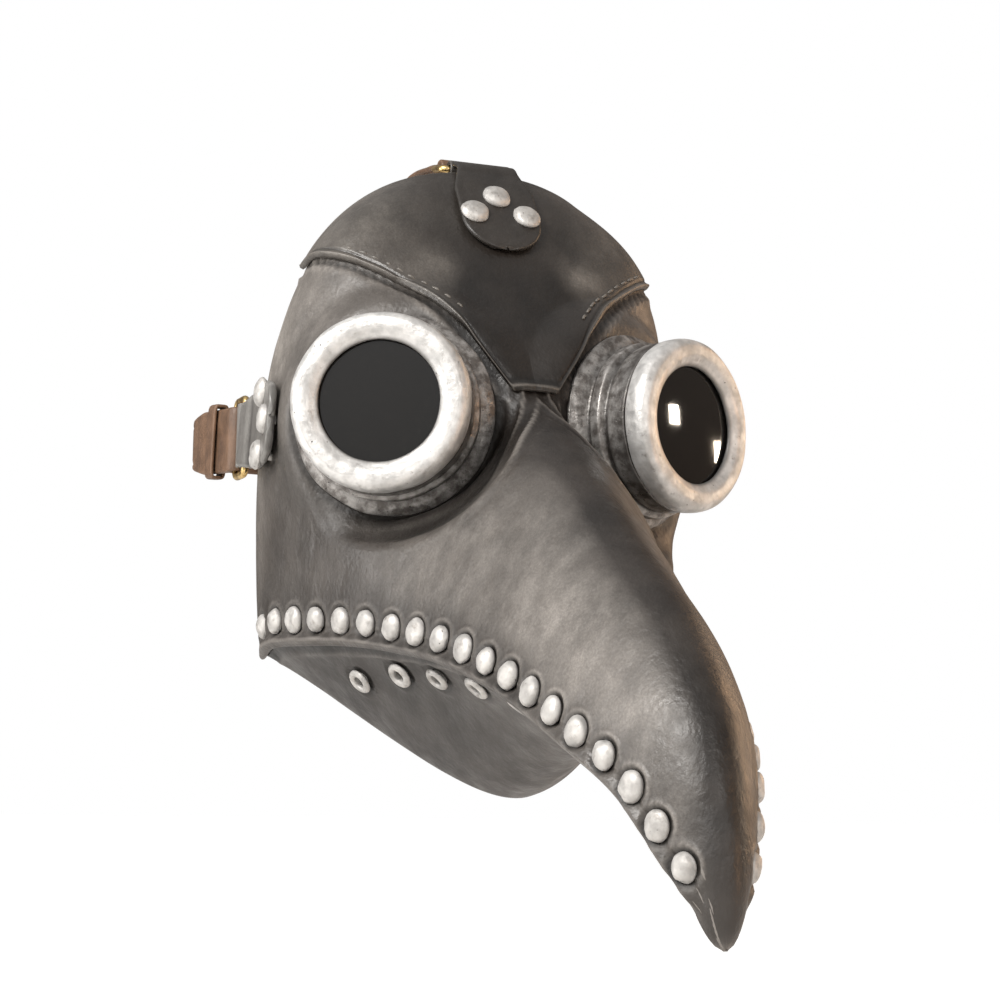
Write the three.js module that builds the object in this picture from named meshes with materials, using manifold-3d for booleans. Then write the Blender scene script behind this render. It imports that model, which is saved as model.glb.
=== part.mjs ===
// Plague doctor mask: a beaked face shell with two riveted eyepieces and a three-strap head harness.
// Millimetres, +Z up. The mask faces -Y, X = 0 is its plane of symmetry, and the origin is midway
// between the two side tabs, at eye height, where the wearer's head sits.

import * as THREE from 'three';
import { mergeVertices } from 'three/addons/utils/BufferGeometryUtils.js';
import Module from 'manifold-3d';

const wasm = await Module();
wasm.setup();

// ---------------------------------------------------------------- driving dimensions

const GAP = 0.3;                 // clearance between two pieces that touch
const SKIN = 2.5;                // wall of the face shell
const PANEL = 1.9;               // wall of the brow panel laid over the forehead
const JAW_SKIN = 2.2;            // wall of the jaw panel tucked inside the mouth line
const JAW_LAP = 15;              // how far the jaw panel reaches up inside the face shell
const CUT = 400;                 // length of a cutting tool that passes right through

// Cross-sections of the skin from the back rim to the beak tip. crown and chin are [y, z] on the
// plane of symmetry, mouth is [x, y, z] on the mouth line. flat and upright shape the upper curve,
// bulge and sweep swell it outwards and backwards just above the mouth line.
const SECTIONS = [
  // crown, mouth, chin, flat, upright, bulge, sweep
  [[-37, 97], [76, -4, -92], [-80, -146], 0.66, 0.86, 18, 24],
  [[-49, 81], [77, -24, -89], [-87, -145], 0.88, 0.90, 9, 6],
  [[-65, 55], [71, -50, -89.5], [-97, -143], 0.84, 0.84, 8, 3],
  [[-81, 28], [62, -74, -91], [-110, -139], 0.72, 0.70, 9, 3],
  [[-97, 0], [53, -99, -94.5], [-125, -135], 0.50, 0.50, 5, 0],
  [[-128, -23], [45, -130, -100.5], [-141, -131], 0.44, 0.42, 0, 0],
  [[-169, -54], [37, -165, -112.5], [-163, -129], 0.46, 0.42, 0, 0],
  [[-211, -84], [31, -199, -128], [-191, -136], 0.46, 0.42, 0, 0],
  [[-240, -114], [23, -223, -143], [-211, -150], 0.50, 0.42, 0, 0],
  [[-254, -148], [15, -238, -162], [-228, -168], 0.50, 0.45, 0, 0],
  [[-257, -172], [7.5, -247, -176], [-241, -178], 0.50, 0.50, 0, 0],
  [[-253.5, -181.5], [4, -249, -182.5], [-246, -182.5], 0.50, 0.50, 0, 0],
].map(([crown, mouth, chin, flat, upright, bulge, sweep]) =>
  ({ crown, mouth, chin, flat, upright, bulge, sweep }));
const JAW_FULLNESS = 0.38;       // how far the cheek runs straight before it turns under the jaw
const CHIN_WIDTH = 0.32;         // part of the half width that the chin keeps flat
const CAVITY_END = 10.3;         // section at which the hollow of the beak stops
const JAW_END = 9.8;             // section at which the jaw panel stops

// Eyepieces: each is a barrel on an axis splayed outwards, its seat sunk flat into the skin.
const EYE = { seat: [46, -74.9, -7], splay: 28, socket: 38, brim: 52 };
const BORE = 24.5;               // clear radius through the barrel
const SPIGOT = 28.5;             // radius of the tail that passes through the skin
const FLANGE = 36.8;             // radius of the base ring that rests on the skin
const LENS = { radius: 26.3, thickness: 2.4, crown: 0.9 };
const FRONT = 33;                // height of the bezel's front face above the seat

// Rivets along the mouth line, and eyelets in the jaw.
const ROW = { count: 19, start: 10.5, pitch: 14.8, riseAtCheek: 10.5, riseAtTip: 6 };
const STUD = { head: 4.8, height: 3.0, shank: 1.5, hole: 2.6 };
const STRIP = { half: 3.5, thickness: 1.2 };
const LINING_GAP = 0.7;          // extra clearance of that strip from the jaw panel's curved inside
const EYELETS = [[2.0, 1.21], [3.2, 1.19], [4.1, 1.2], [4.9, 1.23], [5.6, 1.3], [6.2, 1.42]];
const EYELET = { bore: 2.2, tube: 3.1, hole: 3.9, brim: 4.9, lip: 1.2 };

// Harness: leather tabs riveted to the shell, brass rings, straps, keepers and a rear pad.
const TAB = { thickness: 3.2, tail: 25, eye: 3.6, lean: -0.055 };
const TOP_TAB = { thickness: 2.2, half: 16, round: 14 };
const TAB_RIVET = { head: 5.2, height: 2.8, shank: 1.7, hole: 2.4, seat: 0.35 };
const RING = { wire: 1.5, hole: 1.9, reach: 11.5, half: 14.8 };
const STRAP = { thickness: 2.5, width: 26, narrow: 17, eye: 4.1 };
const LUG_Z = -5;                // height of the side tabs
const SIDE_HINGE = [82.5, 2];    // [x, y] of the hinge between a side tab and its ring
const SIDE_SPLAY = 4;            // angle by which a side strap leaves the head, outwards
const TOP_HINGE = [-31, 100.5];  // [y, z] of the hinge between the top tab and its ring
const TOP_RISE = 15;             // angle by which the top strap leaves its hinge, upwards
const STRAP_RISE = 0.11;         // climb of a side strap towards the back of the head
const KEEPER = { wall: 1.5, along: 9, at: 23, clearance: 0.6 };
const PAD = { width: 64, height: 56, thickness: 3.5, front: 113, z: 8, corner: 10 };

// ---------------------------------------------------------------- solids and meshes

const rad = THREE.MathUtils.degToRad;
const v3 = (x, y, z) => new THREE.Vector3(x, y, z);

/** Turns a closed three.js geometry into a manifold-3d solid. */
function toSolid(geometry, matrix = new THREE.Matrix4()) {
  const bare = geometry.clone().applyMatrix4(matrix);
  bare.deleteAttribute('normal');
  bare.deleteAttribute('uv');
  const welded = mergeVertices(bare, 1e-3);
  const corners = welded.index.array;
  const faces = [];
  for (let i = 0; i < corners.length; i += 3) {
    const [a, b, c] = [corners[i], corners[i + 1], corners[i + 2]];
    if (a !== b && b !== c && c !== a) faces.push(a, b, c);
  }
  const vertProperties = new Float32Array(welded.attributes.position.array);
  if (volumeOf(vertProperties, faces) < 0) faces.reverse();
  return new wasm.Manifold(new wasm.Mesh({ numProp: 3, vertProperties, triVerts: new Uint32Array(faces) }));
}

/** Signed volume of a triangle mesh, negative where its faces point inwards. */
function volumeOf(points, faces) {
  const corner = (k) => v3(...points.slice(3 * k, 3 * k + 3));
  let sum = 0;
  for (let i = 0; i < faces.length; i += 3) {
    sum += corner(faces[i]).dot(corner(faces[i + 1]).cross(corner(faces[i + 2])));
  }
  return sum / 6;
}

/** Turns a manifold-3d solid back into a three.js geometry. */
function toGeometry(solid) {
  const mesh = solid.getMesh();
  const geometry = new THREE.BufferGeometry();
  geometry.setAttribute('position', new THREE.BufferAttribute(new Float32Array(mesh.vertProperties), 3));
  geometry.setIndex(new THREE.BufferAttribute(new Uint32Array(mesh.triVerts), 1));
  geometry.computeVertexNormals();
  return geometry;
}

const join = (solids) => solids.reduce((whole, next) => whole.add(next));
const cut = (solid, tools) => tools.reduce((rest, tool) => rest.subtract(tool), solid);

/** A closed body through rows of points, each row one closed loop, with a fan over both ends. */
function bodyThroughLoops(loops) {
  const count = loops[0].length;
  const middle = (loop) => loop.reduce((sum, p) => sum.add(p), v3(0, 0, 0)).divideScalar(count);
  const points = [...loops.flat(), middle(loops[0]), middle(loops.at(-1))];
  const [firstHub, lastHub] = [points.length - 2, points.length - 1];
  const lastRow = (loops.length - 1) * count;
  const index = [];
  for (let k = 0; k < count; k++) {
    const next = (k + 1) % count;
    for (let row = 0; row < lastRow; row += count) {
      index.push(row + k, row + next, row + count + k);
      index.push(row + next, row + count + next, row + count + k);
    }
    index.push(firstHub, next, k);
    index.push(lastHub, lastRow + k, lastRow + next);
  }
  const geometry = new THREE.BufferGeometry().setFromPoints(points);
  geometry.setIndex(index);
  return geometry;
}

/** A body of revolution about +Z from a closed profile of [radius, height] points. */
function turned(profile, segments) {
  const points = [...profile, profile[0]].map(([r, h]) => new THREE.Vector2(r, h));
  return new THREE.LatheGeometry(points, segments).rotateX(Math.PI / 2);
}

/** A body of revolution about +Z whose open profile starts and ends on the axis. */
function turnedSolid(profile, segments) {
  const points = profile.map(([r, h]) => new THREE.Vector2(r, h));
  return new THREE.LatheGeometry(points, segments).rotateX(Math.PI / 2);
}

/** A cylinder along +Z between two heights. */
const rod = (radius, low, high, segments) =>
  turnedSolid([[0, low], [radius, low], [radius, high], [0, high]], segments);

/** An outline drawn in [y, z], extruded along X over a width centred on X = 0. */
function acrossX(outline, width) {
  const shape = new THREE.Shape(outline.map(([y, z]) => new THREE.Vector2(y, z)));
  const body = new THREE.ExtrudeGeometry(shape, { depth: width, bevelEnabled: false });
  const axes = new THREE.Matrix4().makeBasis(v3(0, 1, 0), v3(0, 0, 1), v3(1, 0, 0));
  return body.translate(0, 0, -width / 2).applyMatrix4(axes);
}

/** An outline drawn in [x, z], extruded along Y over a width centred on Y = 0. */
function acrossY(outline, width) {
  const shape = new THREE.Shape(outline.map(([x, z]) => new THREE.Vector2(x, z)));
  const body = new THREE.ExtrudeGeometry(shape, { depth: width, bevelEnabled: false });
  const axes = new THREE.Matrix4().makeBasis(v3(1, 0, 0), v3(0, 0, 1), v3(0, -1, 0));
  return body.translate(0, 0, -width / 2).applyMatrix4(axes);
}

/** An outline drawn in [x, y], extruded along Z over a height centred on middle. */
function acrossZ(outline, height, middle) {
  const shape = new THREE.Shape(outline.map(([x, y]) => new THREE.Vector2(x, y)));
  const body = new THREE.ExtrudeGeometry(shape, { depth: height, bevelEnabled: false });
  return body.translate(0, 0, middle - height / 2);
}

/** The outline of a band of even thickness along a plane path, its near edge on the path. */
function bandOutline(path, thickness) {
  const points = path.map(([a, b]) => new THREE.Vector2(a, b));
  const outer = points.map((point, k) => {
    const ahead = points[Math.min(k + 1, points.length - 1)];
    const behind = points[Math.max(k - 1, 0)];
    const along = ahead.clone().sub(behind).normalize();
    return [point.x - along.y * thickness, point.y + along.x * thickness];
  });
  return [...path, ...outer.reverse()];
}

/** Matrix that carries local +Z to a direction and the local origin to a point. */
function frameAt(point, direction) {
  const turn = new THREE.Quaternion().setFromUnitVectors(v3(0, 0, 1), direction.clone().normalize());
  return new THREE.Matrix4().compose(point, turn, v3(1, 1, 1));
}

const MIRROR = new THREE.Matrix4().makeScale(-1, 1, 1);
const SIDES = [['right', 1], ['left', -1]];
const handed = (side) => (side > 0 ? new THREE.Matrix4() : MIRROR);

// ---------------------------------------------------------------- the skin as a surface

/** Smooth value of one number along the list of sections, by a Catmull-Rom spline. */
function along(numbers, t) {
  const last = numbers.length - 1;
  const i = Math.min(Math.floor(t), last - 1);
  const f = t - i;
  const [b, c] = [numbers[i], numbers[i + 1]];
  const a = i > 0 ? numbers[i - 1] : 2 * b - c;
  const d = i + 2 <= last ? numbers[i + 2] : 2 * c - b;
  const bend = 2 * a - 5 * b + 4 * c - d;
  const twist = 3 * b - a - 3 * c + d;
  return 0.5 * (2 * b + (c - a) * f + bend * f * f + twist * f ** 3);
}

const track = (pick) => SECTIONS.map(pick);
const CROWN_Y = track((s) => s.crown[0]);
const CROWN_Z = track((s) => s.crown[1]);
const MOUTH_X = track((s) => s.mouth[0]);
const MOUTH_Y = track((s) => s.mouth[1]);
const MOUTH_Z = track((s) => s.mouth[2]);
const CHIN_Y = track((s) => s.chin[0]);
const CHIN_Z = track((s) => s.chin[1]);
const FLAT = track((s) => s.flat);
const UPRIGHT = track((s) => s.upright);
const BULGE = track((s) => s.bulge);
const SWEEP = track((s) => s.sweep);

/** The two curves of the half section at t: crown to mouth line, and mouth line to chin. */
function sectionCurves(t) {
  const crown = v3(0, along(CROWN_Y, t), along(CROWN_Z, t));
  const mouth = v3(along(MOUTH_X, t), along(MOUTH_Y, t), along(MOUTH_Z, t));
  const chin = v3(0, along(CHIN_Y, t), along(CHIN_Z, t));
  const brow = crown.clone().setX(along(FLAT, t) * mouth.x);
  const above = mouth.clone().lerp(crown.clone().setX(mouth.x), along(UPRIGHT, t));
  above.add(v3(along(BULGE, t), along(SWEEP, t), 0));
  const below = mouth.clone().lerp(chin, JAW_FULLNESS);
  const under = chin.clone().setX(CHIN_WIDTH * mouth.x);
  return {
    upper: new THREE.CubicBezierCurve3(crown, brow, above, mouth),
    lower: new THREE.CubicBezierCurve3(mouth, below, under, chin),
  };
}

const EYE_SEAT = v3(...EYE.seat);
const EYE_AXIS = v3(Math.sin(rad(EYE.splay)), -Math.cos(rad(EYE.splay)), 0);

/** Draws the skin around an eyepiece into a flat socket on the eyepiece's seat. */
function socketed(point) {
  const offset = point.clone().sub(EYE_SEAT);
  const height = offset.dot(EYE_AXIS);
  const radius = offset.addScaledVector(EYE_AXIS, -height).length();
  const pull = 1 - THREE.MathUtils.smoothstep(radius, EYE.socket, EYE.brim);
  return point.addScaledVector(EYE_AXIS, -height * pull);
}

/** Point of the right half of the skin: v runs 0 crown, 1 mouth line, 2 chin. */
function skinPoint(t, v) {
  const { upper, lower } = sectionCurves(t);
  return socketed(v <= 1 ? upper.getPoint(v) : lower.getPoint(v - 1));
}

const STEP = 0.01;

/** Outward normal of the smooth patch that holds (t, v), taken towards the given side in v. */
function patchNormal(t, v, towards) {
  const t0 = Math.max(t - STEP, 0);
  const t1 = Math.min(t + STEP, SECTIONS.length - 1);
  const forward = skinPoint(t1, v).sub(skinPoint(t0, v));
  const [v0, v1] = towards < 0 ? [v - STEP, v] : [v, v + STEP];
  const down = skinPoint(t, v1).sub(skinPoint(t, v0));
  return forward.cross(down).normalize();
}

/** Point offset from the skin: outwards where depth is negative, mitred at the mouth line. */
function offsetPoint(t, v, depth) {
  const above = patchNormal(t, v, v > 0 ? -1 : 1);
  const below = patchNormal(t, v, v < 2 ? 1 : -1);
  const normal = above.clone().add(below).divideScalar(1 + Math.max(above.dot(below), -0.2));
  if (v === 0 || v === 2) normal.setX(0).normalize();
  return skinPoint(t, v).addScaledVector(normal, -depth);
}

const FACE_END = 4;
const UPPER_STEPS = 10;
const LOWER_STEPS = 3;

/** Closed loop of skin points round one section, at a depth below the surface. */
function skinLoop(t, depth) {
  const vs = [];
  for (let k = 0; k < UPPER_STEPS; k++) vs.push(k / UPPER_STEPS);
  for (let k = 0; k <= LOWER_STEPS; k++) vs.push(1 + k / LOWER_STEPS);
  const right = vs.map((v) => offsetPoint(t, v, depth));
  const left = right.slice(1, -1).reverse().map((p) => v3(-p.x, p.y, p.z));
  return [...right, ...left];
}

/** Section positions from the rim to the given end, closer together over the face than the beak. */
function sectionSteps(end) {
  const steps = [];
  for (let t = 0; t < end - 0.25; t += t < FACE_END ? 0.25 : 0.5) steps.push(t);
  return [...steps, end];
}

/** The filled skin, shrunk by a depth, and run back through the rim where it is a cutting tool. */
function skinSolid(depth, end, runBack = 0) {
  const loops = sectionSteps(end).map((t) => skinLoop(t, depth));
  if (runBack) loops.unshift(loops[0].map((p) => p.clone().add(v3(0, runBack, 0))));
  return toSolid(bodyThroughLoops(loops));
}

// ---------------------------------------------------------------- panels of the mask

const TIP = SECTIONS.length - 1;
const mouthAt = (t) => [along(MOUTH_Y, t), along(MOUTH_Z, t)];

/** Region of [y, z] below the mouth line, raised by a distance square to that line. */
function belowMouth(rise, end) {
  const edge = [];
  for (const t of sectionSteps(end)) {
    const [y, z] = mouthAt(t);
    const [ahead, behind] = [mouthAt(Math.min(t + 0.1, TIP)), mouthAt(Math.max(t - 0.1, 0))];
    const run = new THREE.Vector2(ahead[0] - behind[0], ahead[1] - behind[1]).normalize();
    edge.push([y + run.y * rise, z - run.x * rise]);
  }
  const [endY, endZ] = edge.at(-1);
  return [[60, edge[0][1]], ...edge, [endY + 8, endZ - 12], [endY + 60, -230], [60, -230]];
}

/** Outline of the brow panel in [x, z]: two swept brows that meet in a short edge on the nose. */
function browOutline() {
  const right = [[8, 1], [16, 13], [24, 25], [35, 37], [46, 46], [57, 53], [74, 60]];
  const left = right.map(([x, z]) => [-x, z]).reverse();
  return [...right, [74, 130], [-74, 130], ...left];
}

/** Matrix of one eyepiece: local +Z is its axis outwards, local zero is the seat in the skin. */
const eyeFrame = (side) =>
  frameAt(v3(side * EYE_SEAT.x, EYE_SEAT.y, EYE_SEAT.z), v3(side * EYE_AXIS.x, EYE_AXIS.y, EYE_AXIS.z));

const EYE_SEGMENTS = 24;
const eyeRod = (side, radius, low, high) => toSolid(rod(radius, low, high, EYE_SEGMENTS), eyeFrame(side));

/** Flat seat around each bore, which the barrel's flange and the retaining ring clamp. */
function eyeSeat(side) {
  const wall = SKIN + 0.8;
  const profile = [[SPIGOT + GAP, -wall], [FLANGE + 1.4, -wall], [FLANGE + 1.4, 0], [SPIGOT + GAP, 0]];
  return toSolid(turned(profile, EYE_SEGMENTS), eyeFrame(side));
}

/** The face and beak in one skin, open at the back and under the mouth line. */
function faceShell() {
  let shell = skinSolid(0, TIP).subtract(skinSolid(SKIN, CAVITY_END, 70));
  shell = shell.subtract(toSolid(acrossX(belowMouth(0, 10), CUT)));
  for (const [, side] of SIDES) {
    const front = eyeRod(side, FLANGE + 1.3, 0, 60);
    const behind = eyeRod(side, FLANGE - 0.5, -60, -SKIN);
    shell = cut(shell, [front, behind]).add(eyeSeat(side));
    shell = shell.subtract(eyeRod(side, SPIGOT + GAP, -60, 60));
  }
  return cut(shell, [...studHoles(), ...tabRivetHoles()]);
}

/** A thin panel laid over the forehead, its lower edge the brow seam. */
function browPanel() {
  const layer = skinSolid(-PANEL - GAP, TIP).subtract(skinSolid(-GAP, TIP, 70));
  const panel = layer.intersect(toSolid(acrossY(browOutline(), CUT)));
  const eyes = SIDES.map(([, side]) => eyeRod(side, FLANGE + 1.3, -10, 60));
  return largest(cut(panel, [...eyes, ...tabRivetHoles()]));
}

/** The jaw and the beak's underside, tucked up inside the mouth line. */
function jawPanel() {
  const outer = skinSolid(SKIN + GAP, JAW_END);
  const inner = skinSolid(SKIN + GAP + JAW_SKIN, JAW_END - 0.1, 70);
  const region = toSolid(acrossX(belowMouth(JAW_LAP, JAW_END - 0.3), CUT));
  const panel = outer.subtract(inner).intersect(region);
  return largest(cut(panel, [...studHoles(), ...eyeletHoles()]));
}

/** The largest of a solid's separate bodies, dropping slivers that a cut leaves. */
const largest = (solid) =>
  solid.decompose().sort((a, b) => b.volume() - a.volume())[0];

// ---------------------------------------------------------------- rivets along the mouth line

/** Position v of the rivet row at section t, a set rise above the mouth line. */
function rowV(t, extra = 0) {
  const { upper } = sectionCurves(t);
  const reach = 3 * upper.v3.distanceTo(upper.v2);
  const rise = THREE.MathUtils.mapLinear(t, 0, TIP, ROW.riseAtCheek, ROW.riseAtTip);
  return 1 - (rise + extra) / reach;
}

/** Section positions of the rivets, evenly spaced along the row. */
function rowSteps() {
  const fine = 0.01;
  const steps = [];
  let travelled = 0;
  let last = skinPoint(0, rowV(0));
  for (let t = fine; t < TIP && steps.length < ROW.count; t += fine) {
    const point = skinPoint(t, rowV(t));
    travelled += point.distanceTo(last);
    last = point;
    if (travelled >= ROW.start + ROW.pitch * steps.length) steps.push(t);
  }
  return steps;
}

const ROW_STEPS = rowSteps();

/** Matrix of one fastener: local zero on the skin at (t, v), local +Z outwards. */
function skinFrame(t, v, side) {
  const point = skinPoint(t, v);
  const normal = patchNormal(t, v, v < 1 ? -1 : 1);
  return frameAt(v3(side * point.x, point.y, point.z), v3(side * normal.x, normal.y, normal.z));
}

function studHoles() {
  return SIDES.flatMap(([, side]) => ROW_STEPS.map((t) =>
    toSolid(rod(STUD.hole, -10, 6, 4), skinFrame(t, rowV(t), side))));
}

/** A domed head and its shank, from the strip inside the mask to above the skin. */
function stud() {
  const seat = GAP + 0.2;
  const foot = -(SKIN + JAW_SKIN + 2 * GAP + LINING_GAP + STRIP.thickness / 2);
  return turnedSolid([[0, foot], [STUD.shank, foot], [STUD.shank, seat], [STUD.head, seat],
    [STUD.head * 0.8, seat + STUD.height * 0.65], [0, seat + STUD.height]], 6);
}

/** One side's row of studs, joined by the thin strip that backs them inside the mask. */
function studRow(side) {
  const near = SKIN + JAW_SKIN + 2 * GAP + LINING_GAP;
  const far = near + STRIP.thickness;
  const ends = [ROW_STEPS[0] - 0.15, ROW_STEPS.at(-1) + 0.12];
  const loops = [];
  for (let k = 0; k <= ROW.count; k++) {
    const t = THREE.MathUtils.lerp(ends[0], ends[1], k / ROW.count);
    const [high, low] = [rowV(t, STRIP.half), rowV(t, -STRIP.half)];
    loops.push([offsetPoint(t, high, near), offsetPoint(t, low, near),
      offsetPoint(t, low, far), offsetPoint(t, high, far)]);
  }
  const strip = toSolid(bodyThroughLoops(loops), handed(side));
  return join([strip, ...ROW_STEPS.map((t) => toSolid(stud(), skinFrame(t, rowV(t), side)))]);
}

// ---------------------------------------------------------------- eyelets in the jaw

const jawFrame = (t, v, side) =>
  skinFrame(t, v, side).multiply(new THREE.Matrix4().makeTranslation(0, 0, -SKIN - GAP));

function eyeletHoles() {
  return SIDES.flatMap(([, side]) => EYELETS.map(([t, v]) =>
    toSolid(rod(EYELET.hole, -8, 6, 6), jawFrame(t, v, side))));
}

/** A flanged tube through the jaw panel. */
function eyelet() {
  const top = 3 * GAP;
  return turned([[EYELET.bore, -JAW_SKIN - 1], [EYELET.tube, -JAW_SKIN - 1], [EYELET.tube, top],
    [EYELET.brim, top], [EYELET.brim - 0.6, top + EYELET.lip], [EYELET.bore, top + EYELET.lip]], 8);
}

// ---------------------------------------------------------------- eyepieces

/** The stepped tube that carries the lens, from its tail inside the mask to the gasket. */
const barrel = () => turned([
  [BORE, -9], [SPIGOT, -9], [SPIGOT, GAP], [FLANGE, GAP], [34.2, 4], [31, 5.6], [31, 7], [32.6, 7.6],
  [32.6, 12], [30.6, 12.6], [30.6, 14.4], [31.4, 15], [31.4, 22.7], [BORE, 22.7],
], EYE_SEGMENTS);

const gasket = () => turned([
  [BORE, 23], [LENS.radius, 23], [LENS.radius, 25.6], [BORE, 25.6],
], EYE_SEGMENTS);

/** A lens with a slightly domed front. */
const lens = () => turnedSolid([[0, 25.9], [LENS.radius, 25.9], [LENS.radius, 25.9 + LENS.thickness],
  [LENS.radius * 0.6, 25.9 + LENS.thickness + LENS.crown * 0.7],
  [0, 25.9 + LENS.thickness + LENS.crown]], EYE_SEGMENTS);

/** The rounded front rim that holds the lens against its gasket. */
const bezel = () => turned([
  [23, 28.6], [26.6, 28.6], [26.6, 23], [31.5, 23], [31.5, FRONT - 4], [30.4, FRONT - 1],
  [27.6, FRONT], [24.4, FRONT - 0.5], [23, 29.6],
], EYE_SEGMENTS);

/** The ring that grips the barrel's tail behind the skin. */
const retainer = () => turned([
  [SPIGOT + GAP, -8], [34, -8], [34, -SKIN - 0.8 - GAP], [SPIGOT + GAP, -SKIN - 0.8 - GAP],
], EYE_SEGMENTS);

// ---------------------------------------------------------------- harness

const heading = (angle) => [Math.sin(rad(angle)), Math.cos(rad(angle))];

/** A round bar between two points. */
function bar(from, to, radius, segments = 8) {
  const direction = to.clone().sub(from);
  return toSolid(rod(radius, 0, direction.length(), segments), frameAt(from, direction));
}

// Near face of a side tab in [x, y], following the cheek from its front end to the hinge.
const TAB_PATH = [[82.3, -46], [81.6, -41], [80.9, -34], [80.4, -28], [80.3, -22], [80.4, -16],
  [80.6, -10], SIDE_HINGE];

/** The right-hand side tab: a leather plate on the cheek, ending in an eye for the ring. */
function sideTab() {
  const plate = acrossZ(bandOutline([...TAB_PATH].reverse(), TAB.thickness), 34, LUG_Z);
  const lean = new THREE.Matrix4().makeShear(0, 0, 0, 0, TAB.lean, 0);
  const upper = [[-45, 9], [-41, 14], [-24, 17], [-6, 14], [3, 12.5]];
  const lower = upper.map(([y, z]) => [y, -z]).reverse();
  const mask = [...upper, ...lower].map(([y, z]) => [y, z + LUG_Z]);
  const trimmed = toSolid(plate, lean).intersect(toSolid(acrossX(mask, CUT)));
  const [x, y] = SIDE_HINGE;
  const eye = bar(v3(x, y, LUG_Z - TAB.tail / 2), v3(x, y, LUG_Z + TAB.tail / 2), TAB.eye, 16);
  const hole = bar(v3(x, y, LUG_Z - 30), v3(x, y, LUG_Z + 30), RING.hole, 12);
  return cut(trimmed.add(eye), [hole, ...tabRivetHoles()]);
}

/** Foot and direction of a rivet at [y, z] on a side tab, z measured from the tab's middle. */
function sideRivet([y, z]) {
  const k = TAB_PATH.findIndex(([, next]) => next > y);
  const [[x0, y0], [x1, y1]] = [TAB_PATH[k - 1], TAB_PATH[k]];
  const x = THREE.MathUtils.mapLinear(y, y0, y1, x0, x1) + TAB.thickness + TAB.lean * (z + LUG_Z);
  return [v3(x + TAB_RIVET.seat, y, z + LUG_Z), v3(1, (x0 - x1) / (y1 - y0), -TAB.lean)];
}

/** Point [y, z] at a height above the skin, on the middle line of the forehead. */
function onForehead(t, height) {
  const point = offsetPoint(t, 0, -height);
  return [point.y, point.z];
}

const TOP_TAB_BASE = PANEL + 3 * GAP;

/** The tab on top of the forehead, in the same form, with a round lower end. */
function topTab() {
  const path = [1.9, 1.75, 1.5, 1.25, 1, 0.75, 0.5, 0.25, 0].map((t) => onForehead(t, TOP_TAB_BASE));
  const plate = acrossX(bandOutline([...path, [-33.5, 100.8]], TOP_TAB.thickness), 2 * TOP_TAB.half);
  const lowerEnd = [180, 210, 240, 270, 300, 330, 360].map((angle) =>
    [TOP_TAB.half * Math.cos(rad(angle)), 76 + TOP_TAB.round * Math.sin(rad(angle))]);
  const mask = acrossY([...lowerEnd, [TOP_TAB.half, 90], [12.5, 98], [12.5, 112], [-12.5, 112],
    [-12.5, 98], [-TOP_TAB.half, 90]], CUT);
  const [y, z] = TOP_HINGE;
  const eye = bar(v3(-TAB.tail / 2, y, z), v3(TAB.tail / 2, y, z), TAB.eye, 16);
  const hole = bar(v3(-30, y, z), v3(30, y, z), RING.hole, 12);
  return cut(toSolid(plate).intersect(toSolid(mask)).add(eye), [hole, ...tabRivetHoles()]);
}

const SIDE_RIVETS = [[-27, 12], [-38, 0], [-28, -12]].map(sideRivet);
const TOP_NORMAL = v3(0, -0.8, 0.6);
const TOP_RIVETS = [[-10.5, 1.3], [0, 0.95], [10.5, 1.3]]
  .map(([x, t]) => {
    const foot = onForehead(t, TOP_TAB_BASE + TOP_TAB.thickness + TAB_RIVET.seat);
    return [v3(x, ...foot), TOP_NORMAL];
  });

/** Matrices of every tab rivet, keyed by the tab: local zero on the tab's outer face. */
const TAB_RIVETS = {
  right: SIDE_RIVETS.map(([p, n]) => frameAt(p, n)),
  left: SIDE_RIVETS.map(([p, n]) => frameAt(v3(-p.x, p.y, p.z), v3(-n.x, n.y, n.z))),
  top: TOP_RIVETS.map(([p, n]) => frameAt(p, n)),
};

function tabRivetHoles() {
  return Object.values(TAB_RIVETS).flat()
    .map((frame) => toSolid(rod(TAB_RIVET.hole, -14, 8, 6), frame));
}

/** A domed rivet through a tab and the skin behind it. */
const tabRivet = () => turnedSolid([[0, -9], [TAB_RIVET.shank, -9], [TAB_RIVET.shank, GAP],
  [TAB_RIVET.head, GAP], [TAB_RIVET.head * 0.82, GAP + TAB_RIVET.height * 0.65],
  [0, GAP + TAB_RIVET.height]], 10);

/** A rectangular wire ring: a hinge bar, a strap bar and two arms, for a hinge along any axis. */
function wireRing(hinge, reach, axis) {
  const offset = axis.clone().multiplyScalar(RING.half);
  const [a, b] = [hinge.clone().add(offset), hinge.clone().sub(offset)];
  const [c, d] = [b.clone().add(reach), a.clone().add(reach)];
  const balls = [a, b, c, d].map((p) =>
    toSolid(new THREE.SphereGeometry(RING.wire, 8, 4).translate(p.x, p.y, p.z)));
  const sides = [[a, b], [b, c], [c, d], [d, a]].map(([from, to]) => bar(from, to, RING.wire));
  return join([...sides, ...balls]);
}

const SIDE_PIVOT = v3(...SIDE_HINGE, LUG_Z);
const SIDE_REACH = v3(...heading(SIDE_SPLAY), 0).multiplyScalar(RING.reach);
const TOP_PIVOT = v3(0, ...TOP_HINGE);
const TOP_REACH = v3(0, Math.cos(rad(TOP_RISE)), Math.sin(rad(TOP_RISE))).multiplyScalar(RING.reach);

/** Samples of a smooth plane curve through a few points. */
function smoothPath(points, count) {
  const curve = new THREE.SplineCurve(points.map(([a, b]) => new THREE.Vector2(a, b)));
  return curve.getPoints(count).map((point) => [point.x, point.y]);
}

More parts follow.
